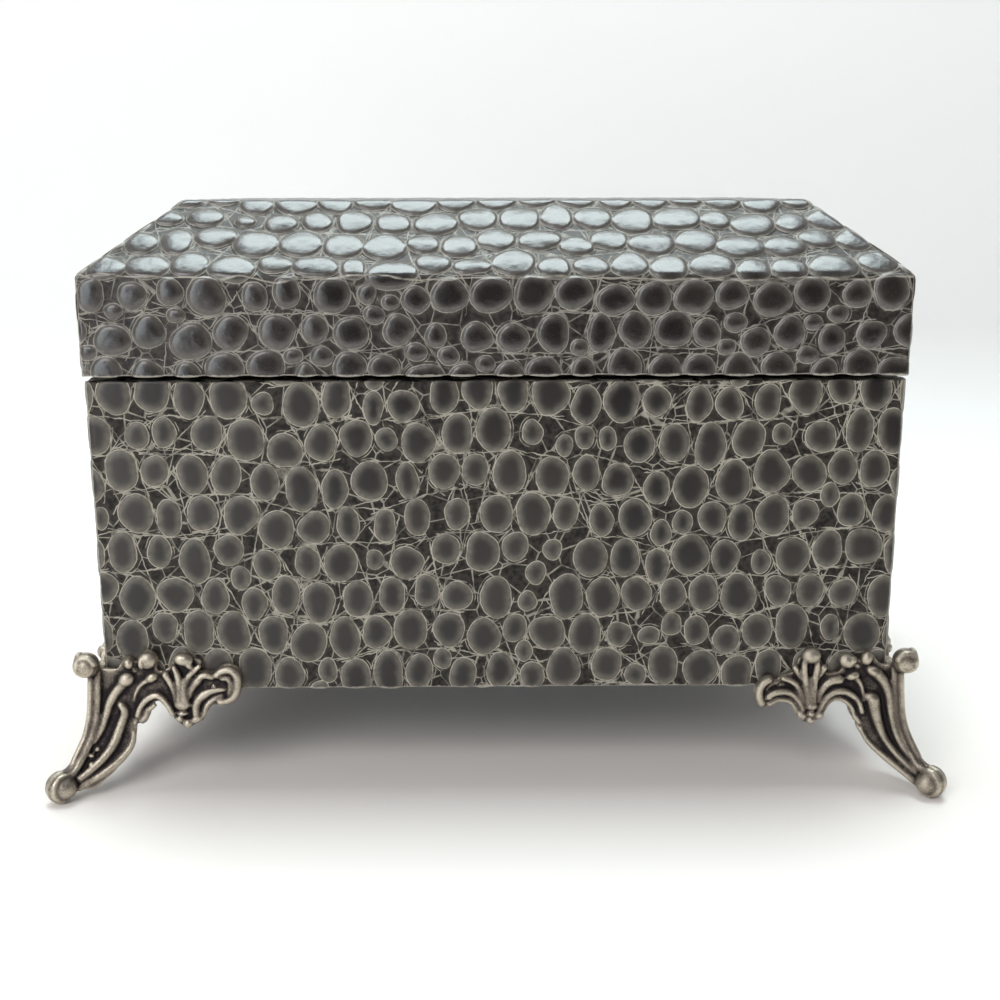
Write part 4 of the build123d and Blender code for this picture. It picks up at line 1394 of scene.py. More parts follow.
@dataclass
class CastFeet:
    """The four cast corner feet: two leafy wings, a reeded leg, a scroll at the top and a toe."""

    half_width: float = 127.0
    half_depth: float = 89.0
    bottom: float = 33.0
    ball_out: float = 5.6
    ball_height: float = 10.2
    ball_radius: float = 4.1
    toe_out: float = 16.8
    toe_height: float = -27.9
    toe_radius: float = 5.3
    toe_width: float = 4.9
    toe_sunk: float = 0.9
    shelf_thickness: float = 2.4
    shelf_reach: float = 34.0
    shelf_edge: float = 1.0
    screw_inset: float = 14.0
    screw_head: Triple = (3.2, 1.4, 1.9)
    plate: float = 1.8
    plate_gap: float = 0.06
    merged: float = 0.001
    leg_thickness: float = 2.6
    flank_heights: Pair = (-29.5, 8.0)
    trim_heights: Pair = (-25.0, -13.0)
    relief: float = 0.7
    ring_points: int = 11
    ring_radius: float = 1.15
    voxel: float = 0.36
    smoothings: tuple[int, int] = (8, 60)
    sections: tuple = (
        (12.0, 3.0, 2.6, 4.0), (0.0, 3.6, 2.4, 9.0), (-8.0, 4.4, 2.6, 10.5), (-14.0, 5.8, 3.4, 10.0),
        (-20.0, 8.6, 5.2, 7.5), (-25.0, 11.6, 8.0, 3.5), (-29.5, 13.6, 10.6, -2.0),
    )

    def leg(self, height: np.ndarray | float) -> tuple:
        """The leg at a height: how far out its ridge and flank's end stand, and the flank's reach."""
        table = np.array(self.sections)[::-1]
        return tuple(np.interp(height, table[:, 0], table[:, column]) for column in (1, 2, 3))

    def surface(self, along: np.ndarray | float, height: np.ndarray | float) -> np.ndarray | float:
        """Finds how far the ground of the casting stands out from the box's face.

        Args:
            along: Distance inboard from the box's corner.
            height: Height over the box's bottom edge.

        Returns:
            The distance.
        """
        ridge, out, reach = self.leg(height)
        share = np.clip((along + ridge) / (reach + ridge), 0, 1)
        return ridge + share * (out - ridge) - self.relief

    @staticmethod
    def on_side(along: np.ndarray, height: np.ndarray, out: np.ndarray) -> np.ndarray:
        """Places a point of the side wing, from the box's corner."""
        return np.stack(np.broadcast_arrays(out, along, height), -1)

    @staticmethod
    def on_front(along: np.ndarray, height: np.ndarray, out: np.ndarray) -> np.ndarray:
        """Places a point of the front wing, from the box's corner."""
        return np.stack(np.broadcast_arrays(-along, -out, height), -1)

    @staticmethod
    def tubes(routes: list[Route]) -> Thing:
        """Makes round tubes along smooth curves.

        Args:
            routes: Points and radii of each tube.

        Returns:
            One mesh object with all the tubes.
        """
        data = bpy.data.curves.new("strands", "CURVE")
        data.dimensions = "3D"
        data.bevel_depth, data.bevel_resolution = 1.0, 3
        data.resolution_u = 6
        data.use_fill_caps = True
        for points, radii in routes:
            add_spline(data, points, radii)
        return meshed(data)

    @staticmethod
    def capped(points: np.ndarray, radii: list[float], past: float = 0.75, narrowed: float = 0.35) -> Route:
        """Adds a narrower point past each end of a tube, so that it ends round.

        Args:
            points: The tube's points.
            radii: Its radii there.
            past: How far past the end, as a share of the radius there.
            narrowed: The added point's radius, as a share of it.

        Returns:
            Points and radii with the ends added.
        """
        ends = []
        for end, inner, radius in ((points[0], points[1], radii[0]), (points[-1], points[-2], radii[-1])):
            ends.append(end + (end - inner) / np.linalg.norm(end - inner) * radius * past)
        return np.vstack((ends[0], points, ends[1])), [radii[0] * narrowed, *radii, radii[-1] * narrowed]

    def strand(self, strand: Strand, place: Callable) -> Route:
        """Route of a strand on a wing."""
        along, height = np.array(strand.path).T
        return self.capped(place(along, height, self.surface(along, height) + strand.lift), strand.widths())

    @staticmethod
    def lump(centre: np.ndarray, axes: np.ndarray) -> Thing:
        """Makes a rounded lump.

        Args:
            centre: Its middle.
            axes: Its half axes as rows.

        Returns:
            The lump.
        """
        bpy.ops.object.select_all(action="DESELECT")
        bpy.ops.mesh.primitive_uv_sphere_add(segments=28, ring_count=16, radius=1)
        made = bpy.context.object
        made.data.transform(Matrix.Translation(Vector(centre)) @ Matrix(axes.T.tolist()).to_4x4())
        return made

    def knob(self, knob: Knob, place: Callable) -> Thing:
        """Makes a knob on a wing.

        Args:
            knob: The knob.
            place: Places a point of its wing.

        Returns:
            The knob as an object.
        """
        along, height = knob.place
        out = float(self.surface(along, height)) + knob.lift
        turn = math.radians(knob.turn)
        centre = place(along, height, out)
        first = place(along + math.cos(turn), height + math.sin(turn), out) - centre
        second = place(along - math.sin(turn), height + math.cos(turn), out) - centre
        third = place(along, height, out + 1) - centre
        return self.lump(centre, np.array((first * knob.half[0], second * knob.half[1], third * knob.thick)))

    def wing_plate(self, outline: tuple, place: Callable) -> Thing:
        """Makes the thin plate behind a wing's leaves.

        Args:
            outline: The wing's outline.
            place: Places a point of the wing.

        Returns:
            The plate.
        """
        data = bpy.data.curves.new("plate", "CURVE")
        data.dimensions, data.fill_mode = "2D", "BOTH"
        data.extrude = self.plate / 2
        data.resolution_u = 6
        add_spline(data, [(*point, 0) for point in outline], [1.0] * len(outline), closed=True)
        made = meshed(data)
        for vertex in made.data.vertices:
            along, height, out = vertex.co
            vertex.co = place(along, height, out + self.plate / 2 + self.plate_gap)
        with whole_mesh(made):
            bpy.ops.mesh.remove_doubles(threshold=self.merged)
        return made

    def flank(self, place: Callable, trim: float) -> Thing:
        """Makes one flank of the leg as a curved slab.

        Args:
            place: Places a point of its wing.
            trim: How much narrower it gets towards the toe.

        Returns:
            The flank.
        """
        made = grid("flank", 20, 40)
        (low, top), (trimmed, untrimmed) = self.flank_heights, self.trim_heights
        for vertex in made.data.vertices:
            height = low + (vertex.co.y + 1) / 2 * (top - low)
            ridge, out, reach = self.leg(height)
            reach -= trim * min(max((untrimmed - height) / (untrimmed - trimmed), 0.0), 1.0)
            along = -ridge + (vertex.co.x + 1) / 2 * (reach + ridge)
            vertex.co = place(along, height, self.surface(along, height))
        inwards = -1 if place == self.on_side else 1
        shaped(made, "SOLIDIFY", thickness=self.leg_thickness, offset=inwards)
        return made

    def shelf(self) -> Thing:
        """Makes the plate under the box, with its countersunk screw hole.

        Returns:
            The plate.
        """
        edge, reach = self.shelf_edge, self.shelf_reach
        corners = ((edge, -edge), (edge, reach), (-reach, -edge))
        made = linked("shelf", bpy.data.meshes.new("shelf"))
        under, over = -self.shelf_thickness, 0.0
        rows = [(x, y, z) for z in (under, over) for x, y in corners]
        made.data.from_pydata(rows, [], [(2, 1, 0), (3, 4, 5), (0, 1, 4, 3), (1, 2, 5, 4), (2, 0, 3, 5)])
        wide, narrow, depth = self.screw_head
        seat = (-self.screw_inset, self.screw_inset, under + 0.9)
        bpy.ops.object.select_all(action="DESELECT")
        bpy.ops.mesh.primitive_cone_add(vertices=40, radius1=wide, radius2=narrow, depth=depth, location=seat)
        cone = bpy.context.object
        shaped(made, "BOOLEAN", object=cone, operation="DIFFERENCE")
        bpy.data.objects.remove(cone)
        return made

    def leg_strands(self) -> list[Route]:
        """Lays the reeds along the leg's ridge and round its toe, and the rings on its scroll.

        Returns:
            Points and radii of each.
        """
        routes = []
        heights = np.array((9.0, 4.0, -2.0, -8.0, -13.0, -17.0, -19.6))
        turns = np.radians((114, 80, 44, 6, -36, -78))
        ridge = self.leg(heights)[0]
        for inset, shift, radius in ((0.15, 0.0, 1.15), (0.35, 1.85, 1.1), (0.35, -1.85, 1.1)):
            centre = ridge - inset
            reed = np.stack((centre - max(shift, 0), -centre - min(shift, 0), heights), -1)
            curl = self.toe_radius - 1.0 - 0.2 * abs(shift)
            round_toe = np.outer(self.toe_out + curl * np.cos(turns), OUTWARD)
            round_toe[:, 2] = self.toe_height + curl * np.sin(turns)
            radii = [radius * 0.9, *[radius] * 8, *[radius * 1.15] * 4]
            routes.append(self.capped(np.vstack((reed, round_toe - ACROSS * shift * 0.9)), radii))
        spot = self.ball_out / math.sqrt(2)
        turns = np.linspace(0.3, 2 * math.pi + 0.6, self.ring_points)
        curl = 3.3 - 0.14 * np.arange(self.ring_points)
        for place in (self.on_front, self.on_side):
            along = -spot + curl * np.cos(turns)
            height = self.ball_height + curl * np.sin(turns)
            ring = place(along, height, np.full(self.ring_points, spot + 2.3))
            routes.append(self.capped(ring, [self.ring_radius] * self.ring_points))
        return routes

    def casting(self) -> Thing:
        """Models the foot, with the box's corner at the origin, in millimetres.

        Returns:
            The foot, as one closed mesh.
        """
        pieces = []
        routes = self.leg_strands()
        for wing, place in ((LONG_WING, self.on_side), (SHORT_WING, self.on_front)):
            pieces.append(self.wing_plate(wing.outline, place))
            pieces.append(self.flank(place, wing.trim))
            pieces += [self.knob(knob, place) for knob in wing.knobs]
            routes += [self.strand(strand, place) for strand in wing.strands]
        pieces.append(self.tubes(routes))
        pieces.append(self.shelf())
        ball = OUTWARD * self.ball_out + UP * self.ball_height
        pieces.append(self.lump(ball, np.array((ACROSS, OUTWARD, UP)) * self.ball_radius))
        toe = self.toe_radius - self.toe_sunk
        toe_axes = np.array((ACROSS * self.toe_width, OUTWARD * toe, UP * toe))
        pieces.append(self.lump(OUTWARD * self.toe_out + UP * self.toe_height, toe_axes))
        choose(*pieces)
        bpy.ops.object.join()
        made = bpy.context.object
        face_outwards(made)
        shaped(made, "REMESH", mode="VOXEL", voxel_size=self.voxel)
        shaped(made, "SMOOTH", factor=0.5, iterations=3)
        return made

    def weathered(self, mesh: bpy.types.Mesh) -> None:
        """Stores how proud or sunk each point of the foot is, against softer copies of the foot.

        Args:
            mesh: The foot's mesh.
        """
        count = len(mesh.vertices)
        place = places_of(mesh)
        normal = np.zeros(count * 3)
        mesh.vertices.foreach_get("normal", normal)
        ends = np.zeros(len(mesh.edges) * 2, int)
        mesh.edges.foreach_get("vertices", ends)
        first, second = ends.reshape(-1, 2).T
        linked_to = np.bincount(first, minlength=count) + np.bincount(second, minlength=count)
        soft, kept = place.copy(), []
        for turn in range(max(self.smoothings)):
            total = np.stack([
                np.bincount(first, soft[second, axis], count) + np.bincount(second, soft[first, axis], count)
                for axis in range(3)
            ], -1)
            soft = total / np.maximum(linked_to, 1)[:, None]
            if turn + 1 in self.smoothings:
                kept.append(((place - soft) * normal.reshape(-1, 3)).sum(1))
        worn = np.clip(0.5 + kept[0] * 1.0 + kept[1] * 0.5, 0, 1)
        made = mesh.attributes.new(WORN, "FLOAT", "POINT")
        made.data.foreach_set("value", worn.astype(np.float32))

    def build(self) -> list[Thing]:
        """Builds the four feet, each with its own mesh, a quarter turn further from corner to corner.

        Returns:
            The four pieces.
        """
        model = self.casting()
        self.weathered(model.data)
        finish = AntiquePewter("antique pewter").material()
        made = []
        corners = {"front_right": (1, -1), "rear_right": (1, 1), "rear_left": (-1, 1), "front_left": (-1, -1)}
        for index, (name, spot) in enumerate(corners.items()):
            data = model.data.copy()
            corner = Vector((spot[0] * self.half_width, spot[1] * self.half_depth, self.bottom))
            turned = Matrix.Rotation(index * math.pi / 2, 4, "Z")
            data.transform(Matrix.Scale(MM, 4) @ Matrix.Translation(corner) @ turned)
            set_places(data, np.maximum(places_of(data), (-math.inf, -math.inf, 0)))
            foot = linked("cast_foot_" + name, data)
            choose(foot)
            bpy.ops.object.shade_smooth()
            made.append(settle(foot, foot.name, Body.BASE, finish, ["foot_" + name]))
        bpy.data.objects.remove(model)
        return made


@dataclass(frozen=True)
class AntiquePewter(Finish):
    """Cast pewter: blackened hollows, worn bright ridges and a grainy surface."""

    hollow: Colour = (0.018, 0.014, 0.016, 1)
    metal: Colour = (0.17, 0.14, 0.115, 1)
    ridge: Colour = (0.52, 0.46, 0.37, 1)
    metallic: float = 0.85

    def look(self, graph: Graph) -> dict[str, Value]:
        """Tones by how worn each place is, broken up by grain and clouds.

        Args:
            graph: The material's graph.

        Returns:
            The shader's inputs by name.
        """
        place = graph.place()
        grain = graph.noise(place, 1.6, 4.0)
        cloud = graph.noise(place, 0.3, 3.0)
        worn = graph.plus(graph.attribute(WORN, "Fac"), graph.centred(grain), 0.55)
        worn = graph.plus(worn, graph.centred(cloud), 0.4)
        colour = graph.mixed(graph.step(worn, 0.08, 0.56), self.hollow, self.metal)
        relief = graph.plus(grain, graph.noise(place, 4.0, 3.0), 0.6)
        return {
            "Base Color": graph.mixed(graph.step(worn, 0.55, 1.05), colour, self.ridge),
            "Metallic": self.metallic,
            "Roughness": graph.step(worn, 0.2, 0.9, 0.52, 0.28),
            "Normal": graph.bump(relief, 0.6, 0.3),
        }


# Velvet, boards and fittings


@dataclass(frozen=True)
class Velvet(Finish):
    """Cut velvet: dark pile, brushed patches and a soft sheen."""

    shade: Colour = (0.050, 0.036, 0.029, 1)
    brushed: Colour = (0.125, 0.094, 0.076, 1)
    sheen: Colour = (0.80, 0.70, 0.62, 1)
    strokes: Triple = (1.0, 0.3, 0.6)
    pile: float = 2.4

    def look(self, graph: Graph) -> dict[str, Value]:
        """Tones by how the pile lies, with long brush strokes.

        Args:
            graph: The material's graph.

        Returns:
            The shader's inputs by name.
        """
        place = graph.place()
        strokes = graph.noise(graph.stretched(place, self.strokes), 0.07, 3.0)
        lie = graph.plus(strokes, graph.noise(place, self.pile), 0.5)
        return {
            "Base Color": graph.mixed(graph.step(lie, 0.5, 1.0), self.shade, self.brushed),
            "Roughness": graph.step(lie, 0.5, 1.0, 0.95, 0.8),
            "Specular IOR Level": 0.15,
            "Sheen Weight": 0.55,
            "Sheen Roughness": 0.4,
            "Sheen Tint": self.sheen,
            "Normal": graph.bump(lie, 0.7, 0.3),
        }


@dataclass(frozen=True)
class Grained(Finish):
    """A finish of two tones with cloudy patches and a fine grain: board, felt, metal or ribbon."""

    dark: Colour
    light: Colour
    roughness: Pair
    metallic: float = 0.0
    patches: float = 0.1
    grain: float = 2.0
    stretch: Triple = (1.0, 1.0, 1.0)
    relief: float = 0.05
    rib: float = 0.0

    def look(self, graph: Graph) -> dict[str, Value]:
        """Tones, gloss and height by patches and grain, and by ribs where there are any.

        Args:
            graph: The material's graph.

        Returns:
            The shader's inputs by name.
        """
        place = graph.place()
        drawn = graph.stretched(place, self.stretch)
        height = graph.noise(drawn, self.grain, 3.0)
        share = graph.plus(graph.noise(drawn, self.patches, 3.0), height, 0.6)
        if self.rib:
            rib = graph.math("SINE", graph.product(graph.parts(place)[2], 2 * math.pi / self.rib))
            share = graph.plus(share, rib, 0.15)
            height = graph.plus(height, rib, 0.5)
        return {
            "Base Color": graph.mixed(graph.step(share, 0.5, 1.1), self.dark, self.light),
            "Roughness": graph.step(share, 0.5, 1.1, *self.roughness),
            "Metallic": self.metallic,
            "Normal": graph.bump(height, 0.5, self.relief),
        }


BOARD = Grained("plain fibreboard", (0.27, 0.18, 0.11, 1), (0.46, 0.34, 0.23, 1), (0.9, 0.75), relief=0.2)
FELT = Grained(
    "pressed felt", (0.030, 0.030, 0.031, 1), (0.075, 0.074, 0.074, 1), (1.0, 0.9), grain=1.4, relief=0.35
)
BRASS = Grained(
    "aged brass", (0.20, 0.12, 0.045, 1), (0.62, 0.46, 0.21, 1), (0.52, 0.24), 1.0, 0.16, 1.6, (0.4, 1.0, 1.0)
)
STEEL = Grained("plain steel", (0.33, 0.32, 0.31, 1), (0.62, 0.60, 0.58, 1), (0.42, 0.24), 1.0, 0.3, 2.2)
PINS = Grained("antiqued pins", (0.035, 0.030, 0.028, 1), (0.40, 0.35, 0.28, 1), (0.55, 0.34), 0.9, 0.5, 2.0)
SILVERED = Grained(
    "silvered glass", (0.80, 0.82, 0.83, 1), (0.92, 0.93, 0.93, 1), (0.05, 0.015), 1.0, 0.02, 0.08, relief=0.0
)
RIBBON = Grained(
    "grosgrain ribbon", (0.060, 0.042, 0.032, 1), (0.19, 0.14, 0.11, 1), (0.6, 0.42), patches=0.2,
    relief=0.12, rib=0.55
)


@dataclass(frozen=True)
class Cushion:
    """A thin stuffed pad between two corners: flat beneath, crowned above, its sides drawn in."""

    low: np.ndarray
    high: np.ndarray
    drawn_in: float = 0.5
    edge_share: float = 0.5
    pitch: float = 3.0
    rounding: float = 0.5

    def build(self, name: str) -> Thing:
        """Shapes the pad from a grid that is drawn down into a closed form.

        Args:
            name: The piece's name.

        Returns:
            The pad.
        """
        half, middle = (self.high - self.low) / 2, (self.high + self.low) / 2
        made = grid(name, *(max(round(2 * half[axis] / self.pitch), 6) for axis in (0, 1)))
        with whole_mesh(made):
            bpy.ops.mesh.extrude_region_move(TRANSFORM_OT_translate={"value": (0, 0, -1)})
            bpy.ops.mesh.select_all(action="SELECT")
            bpy.ops.mesh.normals_make_consistent(inside=False)
        for vertex in made.data.vertices:
            across, along = vertex.co.x, vertex.co.y
            crown = (1 - across**6) * (1 - along**6)
            height = 2 * half[2] * (self.edge_share + (1 - self.edge_share) * crown)
            vertex.co = (
                middle[0] + across * (half[0] - self.drawn_in * (1 - along**4) * across**6),
                middle[1] + along * (half[1] - self.drawn_in * (1 - across**4) * along**6),
                self.low[2] + (height if vertex.co.z > -0.5 else 0),
            )
        shaped(made, "BEVEL", width=self.rounding, segments=3, angle_limit=math.radians(50))
        made.data.transform(Matrix.Scale(MM, 4))
        bpy.ops.object.shade_smooth()
        return made


@dataclass(frozen=True)
class RingRoll:
    """One stuffed velvet roll of the ring bed, with rounded ends."""

    half_width: float
    half_length: float
    low: float
    height: float
    end_rounding: float = 7.0
    end_narrowed: float = 0.4
    fullness: Pair = (0.55, 0.62)
    uneven: float = 0.012
    arch_points: int = 34
    flat_points: int = 8
    pitch: float = 2.2

    def outline(self) -> np.ndarray:
        """Shapes the closed section of the roll.

        Returns:
            Rows of a share of the half width and a share of the height.
        """
        turns = np.linspace(0, math.pi, self.arch_points)
        level = np.sign(np.cos(turns)) * np.abs(np.cos(turns)) ** self.fullness[0]
        arch = np.column_stack((level, np.sin(turns) ** self.fullness[1]))
        flat = np.column_stack((np.linspace(-1, 1, self.flat_points), np.zeros(self.flat_points)))
        return np.vstack((arch, flat[1:]))

    def build(self, name: str, middle: float, seed: int) -> Thing:
        """Shapes the roll.

        Args:
            name: The piece's name.
            middle: Its middle across the bed.
            seed: Number that makes its small unevenness its own.

        Returns:
            The roll.
        """
        section = self.outline()
        stations = round(2 * self.half_length / self.pitch)
        made = grid(name, len(section) - 1, stations + 2)
        for vertex in made.data.vertices:
            spot = round((vertex.co.x + 1) / 2 * (len(section) - 1))
            station = round((vertex.co.y + 1) / 2 * (stations + 2))
            closed = 0.0 if station in (0, stations + 2) else 1.0
            along = (min(max(station - 1, 0), stations) / stations * 2 - 1) * self.half_length
            past = max(abs(along) - self.half_length + self.end_rounding, 0) / self.end_rounding
            inset = self.end_rounding * (1 - math.sqrt(max(1 - past**2, 0)))
            uneven = 1 - self.uneven * (1 + math.sin(along / 9 + 1.7 * seed) * math.cos(along / 23 + seed))
            wide = (self.half_width - self.end_narrowed * inset) * closed
            tall = (self.height - inset) * uneven
            across, up = section[spot]
            up = up * closed + self.end_narrowed * (1 - closed)
            vertex.co = (middle + across * wide, along, self.low + up * tall)
        with whole_mesh(made):
            bpy.ops.mesh.remove_doubles(threshold=0.01)
        face_outwards(made)
        made.data.transform(Matrix.Scale(MM, 4))
        bpy.ops.object.shade_smooth_by_angle(angle=math.radians(55))
        return made


@dataclass
class Lining:
    """Everything soft inside the chest, and the felt under it."""

    copied: tuple[tuple[str, Body], ...] = (
        *(("base_lining_" + side.label, Body.BASE) for side in Side),
        *(("lid_lining_" + side.label, Body.LID) for side in Side),
    )
    rounding: float = 0.5
    merged: float = 0.002
    pad_gap: float = 0.3
    rolls: int = 8
    roll_gap: float = 0.03
    ribbon: float = 0.3

    def lined(self, node: str, name: str, body: Body, finish: bpy.types.Material) -> Thing:
        """Covers a CAD node's own form in cloth: a merged copy with softened edges.

        Args:
            node: The CAD node.
            name: The piece's name.
            body: The body that it moves with.
            finish: Its material.

        Returns:
            The piece.
        """
        made = linked(name, bpy.data.objects[node].data.copy())
        with whole_mesh(made):
            bpy.ops.mesh.remove_doubles(threshold=self.merged * MM)
            bpy.ops.mesh.customdata_custom_splitnormals_clear()
            bpy.ops.mesh.dissolve_limited(angle_limit=math.radians(2))
        shaped(made, "BEVEL", width=self.rounding * MM, segments=3, angle_limit=math.radians(30))
        bpy.ops.object.shade_smooth_by_angle(angle=math.radians(40))
        return settle(made, name, body, finish, [node])

    def pads(self, finish: bpy.types.Material) -> list[Thing]:
        """Builds the floor pad and the pads of the tray's wells.

        Args:
            finish: Their material.

        Returns:
            The pads.
        """
        pad = Cushion(*box_of("base_floor_pad"), 0.8, 0.7, pitch=4.0).build("floor_pad")
        made = [settle(pad, "floor_pad", Body.BASE, finish, ["base_floor_pad"])]
        low, high = box_of("tray_pads")
        walls = {name: box_of("tray_divider_" + name) for name in ("ring", "long", "small_1", "small_2")}
        before = {name: wall[0] - self.pad_gap for name, wall in walls.items()}
        after = {name: wall[1] + self.pad_gap for name, wall in walls.items()}
        inner, back = after["ring"][0], after["long"][1]
        wells = {
            "front": (inner, low[1], high[0], before["long"][1]),
            "back_left": (inner, back, before["small_1"][0], high[1]),
            "back_middle": (after["small_1"][0], back, before["small_2"][0], high[1]),
            "back_right": (after["small_2"][0], back, high[0], high[1]),
        }
        for well, (left, near, right, far) in wells.items():
            corners = np.array(((left, near, low[2]), (right, far, high[2])))
            name = "well_pad_" + well
            pad = Cushion(*corners, 0.4, 0.5, rounding=0.3).build(name)
            made.append(settle(pad, name, Body.TRAY, finish, ["tray_pads"]))
        return made

    def ring_bed(self, finish: bpy.types.Material) -> list[Thing]:
        """Builds the rolls that hold rings.

        Args:
            finish: Their material.

        Returns:
            The rolls.
        """
        low, high = box_of("tray_ring_rolls")
        wide, long, tall = high - low
        half = wide / self.rolls / 2
        made = []
        for index in range(self.rolls):
            name = f"ring_roll_{index + 1}"
            roll = RingRoll(half - self.roll_gap, long / 2, low[2], tall)
            piece = roll.build(name, low[0] + half * (2 * index + 1), index)
            settle(piece, name, Body.TRAY, finish, ["tray_ring_rolls"])
            made.append(piece)
        return made

    def tab(self, side: Side, finish: bpy.types.Material) -> Thing:
        """Folds one lifting ribbon of the tray over on itself.

        Args:
            side: The end of the tray that it is on.
            finish: Its material.

        Returns:
            The ribbon.
        """
        name = "ribbon_tab_" + side.label
        low, high = box_of("tray_tab_" + side.label)
        fold = (high[0] - low[0] - self.ribbon) / 2
        leg = high[2] - low[2] - fold - self.ribbon / 2
        length = 2 * leg + math.pi * fold
        made = grid(name, 10, 60)
        for vertex in made.data.vertices:
            run = (vertex.co.y + 1) / 2 * length
            turn = min(max((run - leg) / fold, 0), math.pi)
            up = min(run, leg, length - run) + fold * math.sin(turn)
            across = (low[0] + high[0]) / 2 - fold * math.cos(turn)
            vertex.co = (across, vertex.co.x * (high[1] - low[1]) / 2, low[2] + up)
        shaped(made, "SOLIDIFY", thickness=self.ribbon, offset=0)
        made.data.transform(Matrix.Scale(MM, 4))
        face_outwards(made)
        bpy.ops.object.shade_smooth_by_angle(angle=math.radians(50))
        settle(made, name, Body.TRAY, finish, ["tray_tab_" + side.label])
        return made

    def build(self, velvet: bpy.types.Material) -> list[Thing]:
        """Builds all of it.

        Args:
            velvet: The material of what is covered in velvet.

        Returns:
            The pieces.
        """
        made = [self.lined(node, node + "_velvet", body, velvet) for node, body in self.copied]
        felt = self.lined("base_felt", "underside_felt", Body.BASE, FELT.material())
        ribbon = RIBBON.material()
        made += [felt, *self.pads(velvet), *self.ring_bed(velvet)]
        return made + [self.tab(side, ribbon) for side in (Side.LEFT, Side.RIGHT)]


def dress_boards_and_fittings(nodes: dict[str, Thing], velvet: bpy.types.Material) -> None:
    """Gives every CAD node that stays its finish, by the material slot that the frame names.

    Args:
        nodes: The frame's nodes by name.
        velvet: The material of the velvet-covered ones.
    """
    finishes = {
        "velvet": velvet,
        "fibreboard": BOARD.material(),
        "hinge_brass": BRASS.material(),
        "steel_screws": STEEL.material(),
        "foot_nails": PINS.material(),
        "mirror_glass": SILVERED.material(),
    }
    for name, node in nodes.items():
        slot = node.data.materials[0].name
        if slot in finishes:
            node.data.materials[0] = finishes[slot]
            log.info("%s: dressed in %s", name, finishes[slot].name)


# Studio


@dataclass(frozen=True)
class StagePaint(Finish):
    """Plain paint for the stage, which isn't part of the chest."""

    colour: Colour
    roughness: float
    specular: float = 0.5

    def look(self, graph: Graph) -> dict[str, Value]:
        """One tone and gloss all over."""
        return {"Base Color": self.colour, "Roughness": self.roughness, "Specular IOR Level": self.specular}


@dataclass(frozen=True)
class Softbox:
    """A soft rectangular light: its place and aim in metres, size, power in watts and colour."""

    name: str
    place: Triple
    aim: Triple
    size: Pair
    power: float
    colour: Triple

    def build(self) -> None:
        """Hangs the light."""
        data = bpy.data.lights.new(self.name, "AREA")
        data.shape = "RECTANGLE"
        data.size, data.size_y = self.size
        data.energy, data.color = self.power, self.colour
        way = Vector(self.aim) - Vector(self.place)
        turned = way.to_track_quat("-Z", "Y").to_matrix().to_4x4()
        linked(self.name, data).matrix_world = Matrix.Translation(self.place) @ turned


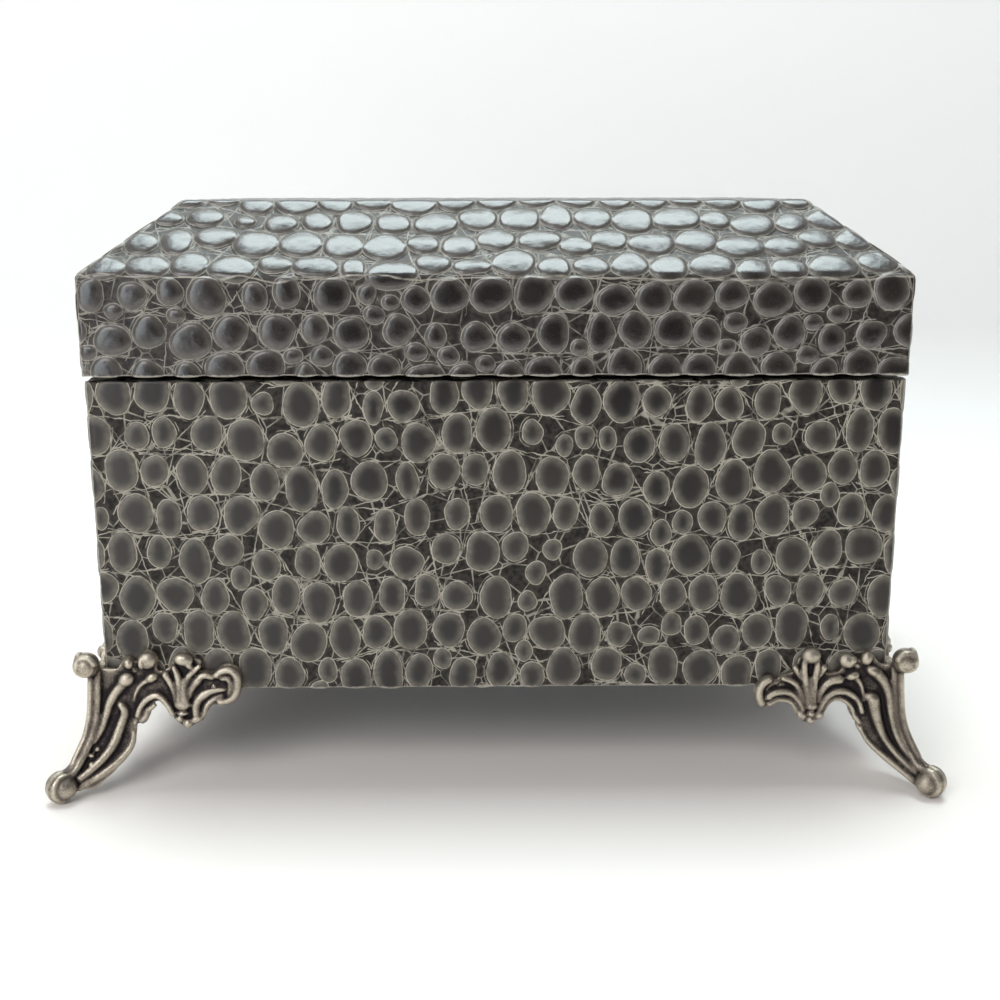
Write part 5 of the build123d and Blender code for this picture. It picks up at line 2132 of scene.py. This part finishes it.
@dataclass
class Studio:
    """Camera, floor, backdrop and soft lights; the camera's place is in millimetres."""

    place: Triple = (-4.0, -489.1, 189.9)
    pitch: float = 13.24
    yaw: float = -0.71
    roll: float = 0.07
    lens: float = 47.17
    sensor: float = 36.0
    clip: Pair = (0.01, 20)
    sweep_start: float = 0.30
    sweep_radius: float = 0.10
    sweep_height: float = 1.4
    sweep_half_width: float = 3.0
    sweep_lift: float = 0.0004
    sweep_steps: int = 16
    card_place: Triple = (0.52, -0.45, 0.31)
    card_size: Pair = (1.36, 0.56)
    front: Colour = (0.20, 0.21, 0.24, 1)
    behind: Colour = (0.63, 0.625, 0.64, 1)
    lights: tuple[Softbox, ...] = (
        Softbox("ceiling softbox", (0.0, 0.17, 1.3), (0, 0.1, 0), (0.95, 0.5), 15.5, (0.86, 0.98, 0.99)),
        Softbox("left window", (-0.62, -1.0, 0.3), (-0.08, -0.09, 0.1), (0.4, 0.6), 3.0, (0.86, 0.95, 1.0)),
        Softbox("front softbox", (-0.6, -1.25, 1.1), (0, 0, 0.1), (1.0, 0.8), 14.0, (1.0, 0.98, 0.96)),
    )

    def camera(self) -> None:
        """Sets the camera where the photograph was taken from."""
        data = bpy.data.cameras.new("camera")
        data.lens, data.sensor_width = self.lens, self.sensor
        data.clip_start, data.clip_end = self.clip
        made = linked("camera", data)
        turns = ((self.yaw, "Z"), (-self.pitch, "X"), (self.roll, "Y"))
        yaw, pitch, roll = (Matrix.Rotation(math.radians(angle), 3, axis) for angle, axis in turns)
        right, ahead, up = (yaw @ pitch @ roll).col
        rotation = Matrix((right, up, -ahead)).transposed()
        made.matrix_world = Matrix.Translation(Vector(self.place) * MM) @ rotation.to_4x4()
        bpy.context.scene.camera = made

    @staticmethod
    def clear_from_behind(finish: bpy.types.Material) -> bpy.types.Material:
        """Makes a material show from its front alone.

        Args:
            finish: The material.

        Returns:
            The same material.
        """
        graph = Graph(finish.node_tree)
        output = next(node for node in finish.node_tree.nodes if node.type == "OUTPUT_MATERIAL")
        front = output.inputs["Surface"].links[0].from_socket
        clear = graph.node("ShaderNodeBsdfTransparent").outputs[0]
        behind = graph.node("ShaderNodeNewGeometry").outputs["Backfacing"]
        shown = graph.node("ShaderNodeMixShader", {0: behind, 1: front, 2: clear})
        graph.fill(output, {"Surface": shown.outputs[0]})
        return finish

    def floor(self) -> None:
        """Makes the pale floor, and behind it a sweep that only shows from its front."""
        bpy.ops.object.select_all(action="DESELECT")
        bpy.ops.mesh.primitive_plane_add(size=8, location=(0, 0, 0))
        ground = bpy.context.object
        ground.name = "floor"
        ground.data.materials.append(StagePaint("pale floor", (0.90, 0.85, 0.81, 1), 0.6).material())
        steps = self.sweep_steps
        sweep = grid("sweep", 1, steps + 1)
        for vertex in sweep.data.vertices:
            step = round((vertex.co.y + 1) / 2 * (steps + 1))
            turn = min(step, steps) / steps * math.pi / 2
            ahead = self.sweep_start + self.sweep_radius * math.sin(turn)
            height = self.sweep_radius * (1 - math.cos(turn)) + (self.sweep_height if step > steps else 0)
            vertex.co = (vertex.co.x * self.sweep_half_width, ahead, height + self.sweep_lift)
        paint = StagePaint("pale sweep", (0.83, 0.82, 0.805, 1), 0.8).material()
        sweep.data.materials.append(self.clear_from_behind(paint))
        choose(sweep)
        bpy.ops.object.shade_smooth()

    def flag(self) -> None:
        """Hangs a dark card in front, which only reflections see."""
        bpy.ops.object.select_all(action="DESELECT")
        bpy.ops.mesh.primitive_plane_add(size=1, location=self.card_place, rotation=(math.pi / 2, 0, 0))
        card = bpy.context.object
        card.name = "dark_card"
        card.scale = (*self.card_size, 1)
        card.data.materials.append(StagePaint("dark card", (0.01, 0.01, 0.012, 1), 1.0, 0.0).material())
        card.visible_camera = card.visible_diffuse = card.visible_shadow = card.visible_transmission = False

    def world(self) -> None:
        """Sets the pale surroundings, darker in front."""
        made = bpy.data.worlds.new("room")
        made.use_nodes = True
        graph = Graph(made.node_tree)
        way = graph.parts(graph.node("ShaderNodeTexCoord").outputs["Generated"])
        colour = graph.mixed(graph.step(way[1], -0.4, 0.5), self.front, self.behind)
        graph.fill(made.node_tree.nodes["Background"], {"Color": colour, "Strength": 1.0})
        bpy.context.scene.world = made

    def build(self) -> None:
        """Builds the whole studio."""
        bpy.context.scene.view_settings.view_transform = "Standard"
        self.camera()
        self.floor()
        self.flag()
        self.world()
        for light in self.lights:
            light.build()


def main() -> None:
    """Builds the studio and every piece of the chest, and reports each piece."""
    logging.basicConfig(level=logging.INFO, format="%(name)s: %(message)s")
    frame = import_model()
    Studio().build()
    velvet = Velvet("taupe velvet").material()
    pieces = BaseCover().build() + LidCover().build() + CastFeet().build() + Lining().build(velvet)
    for piece in pieces:
        log.info("%s: %d faces", piece.name, len(piece.data.polygons))
    dress_boards_and_fittings(frame["nodes"], velvet)


if __name__ == "__main__":
    main()
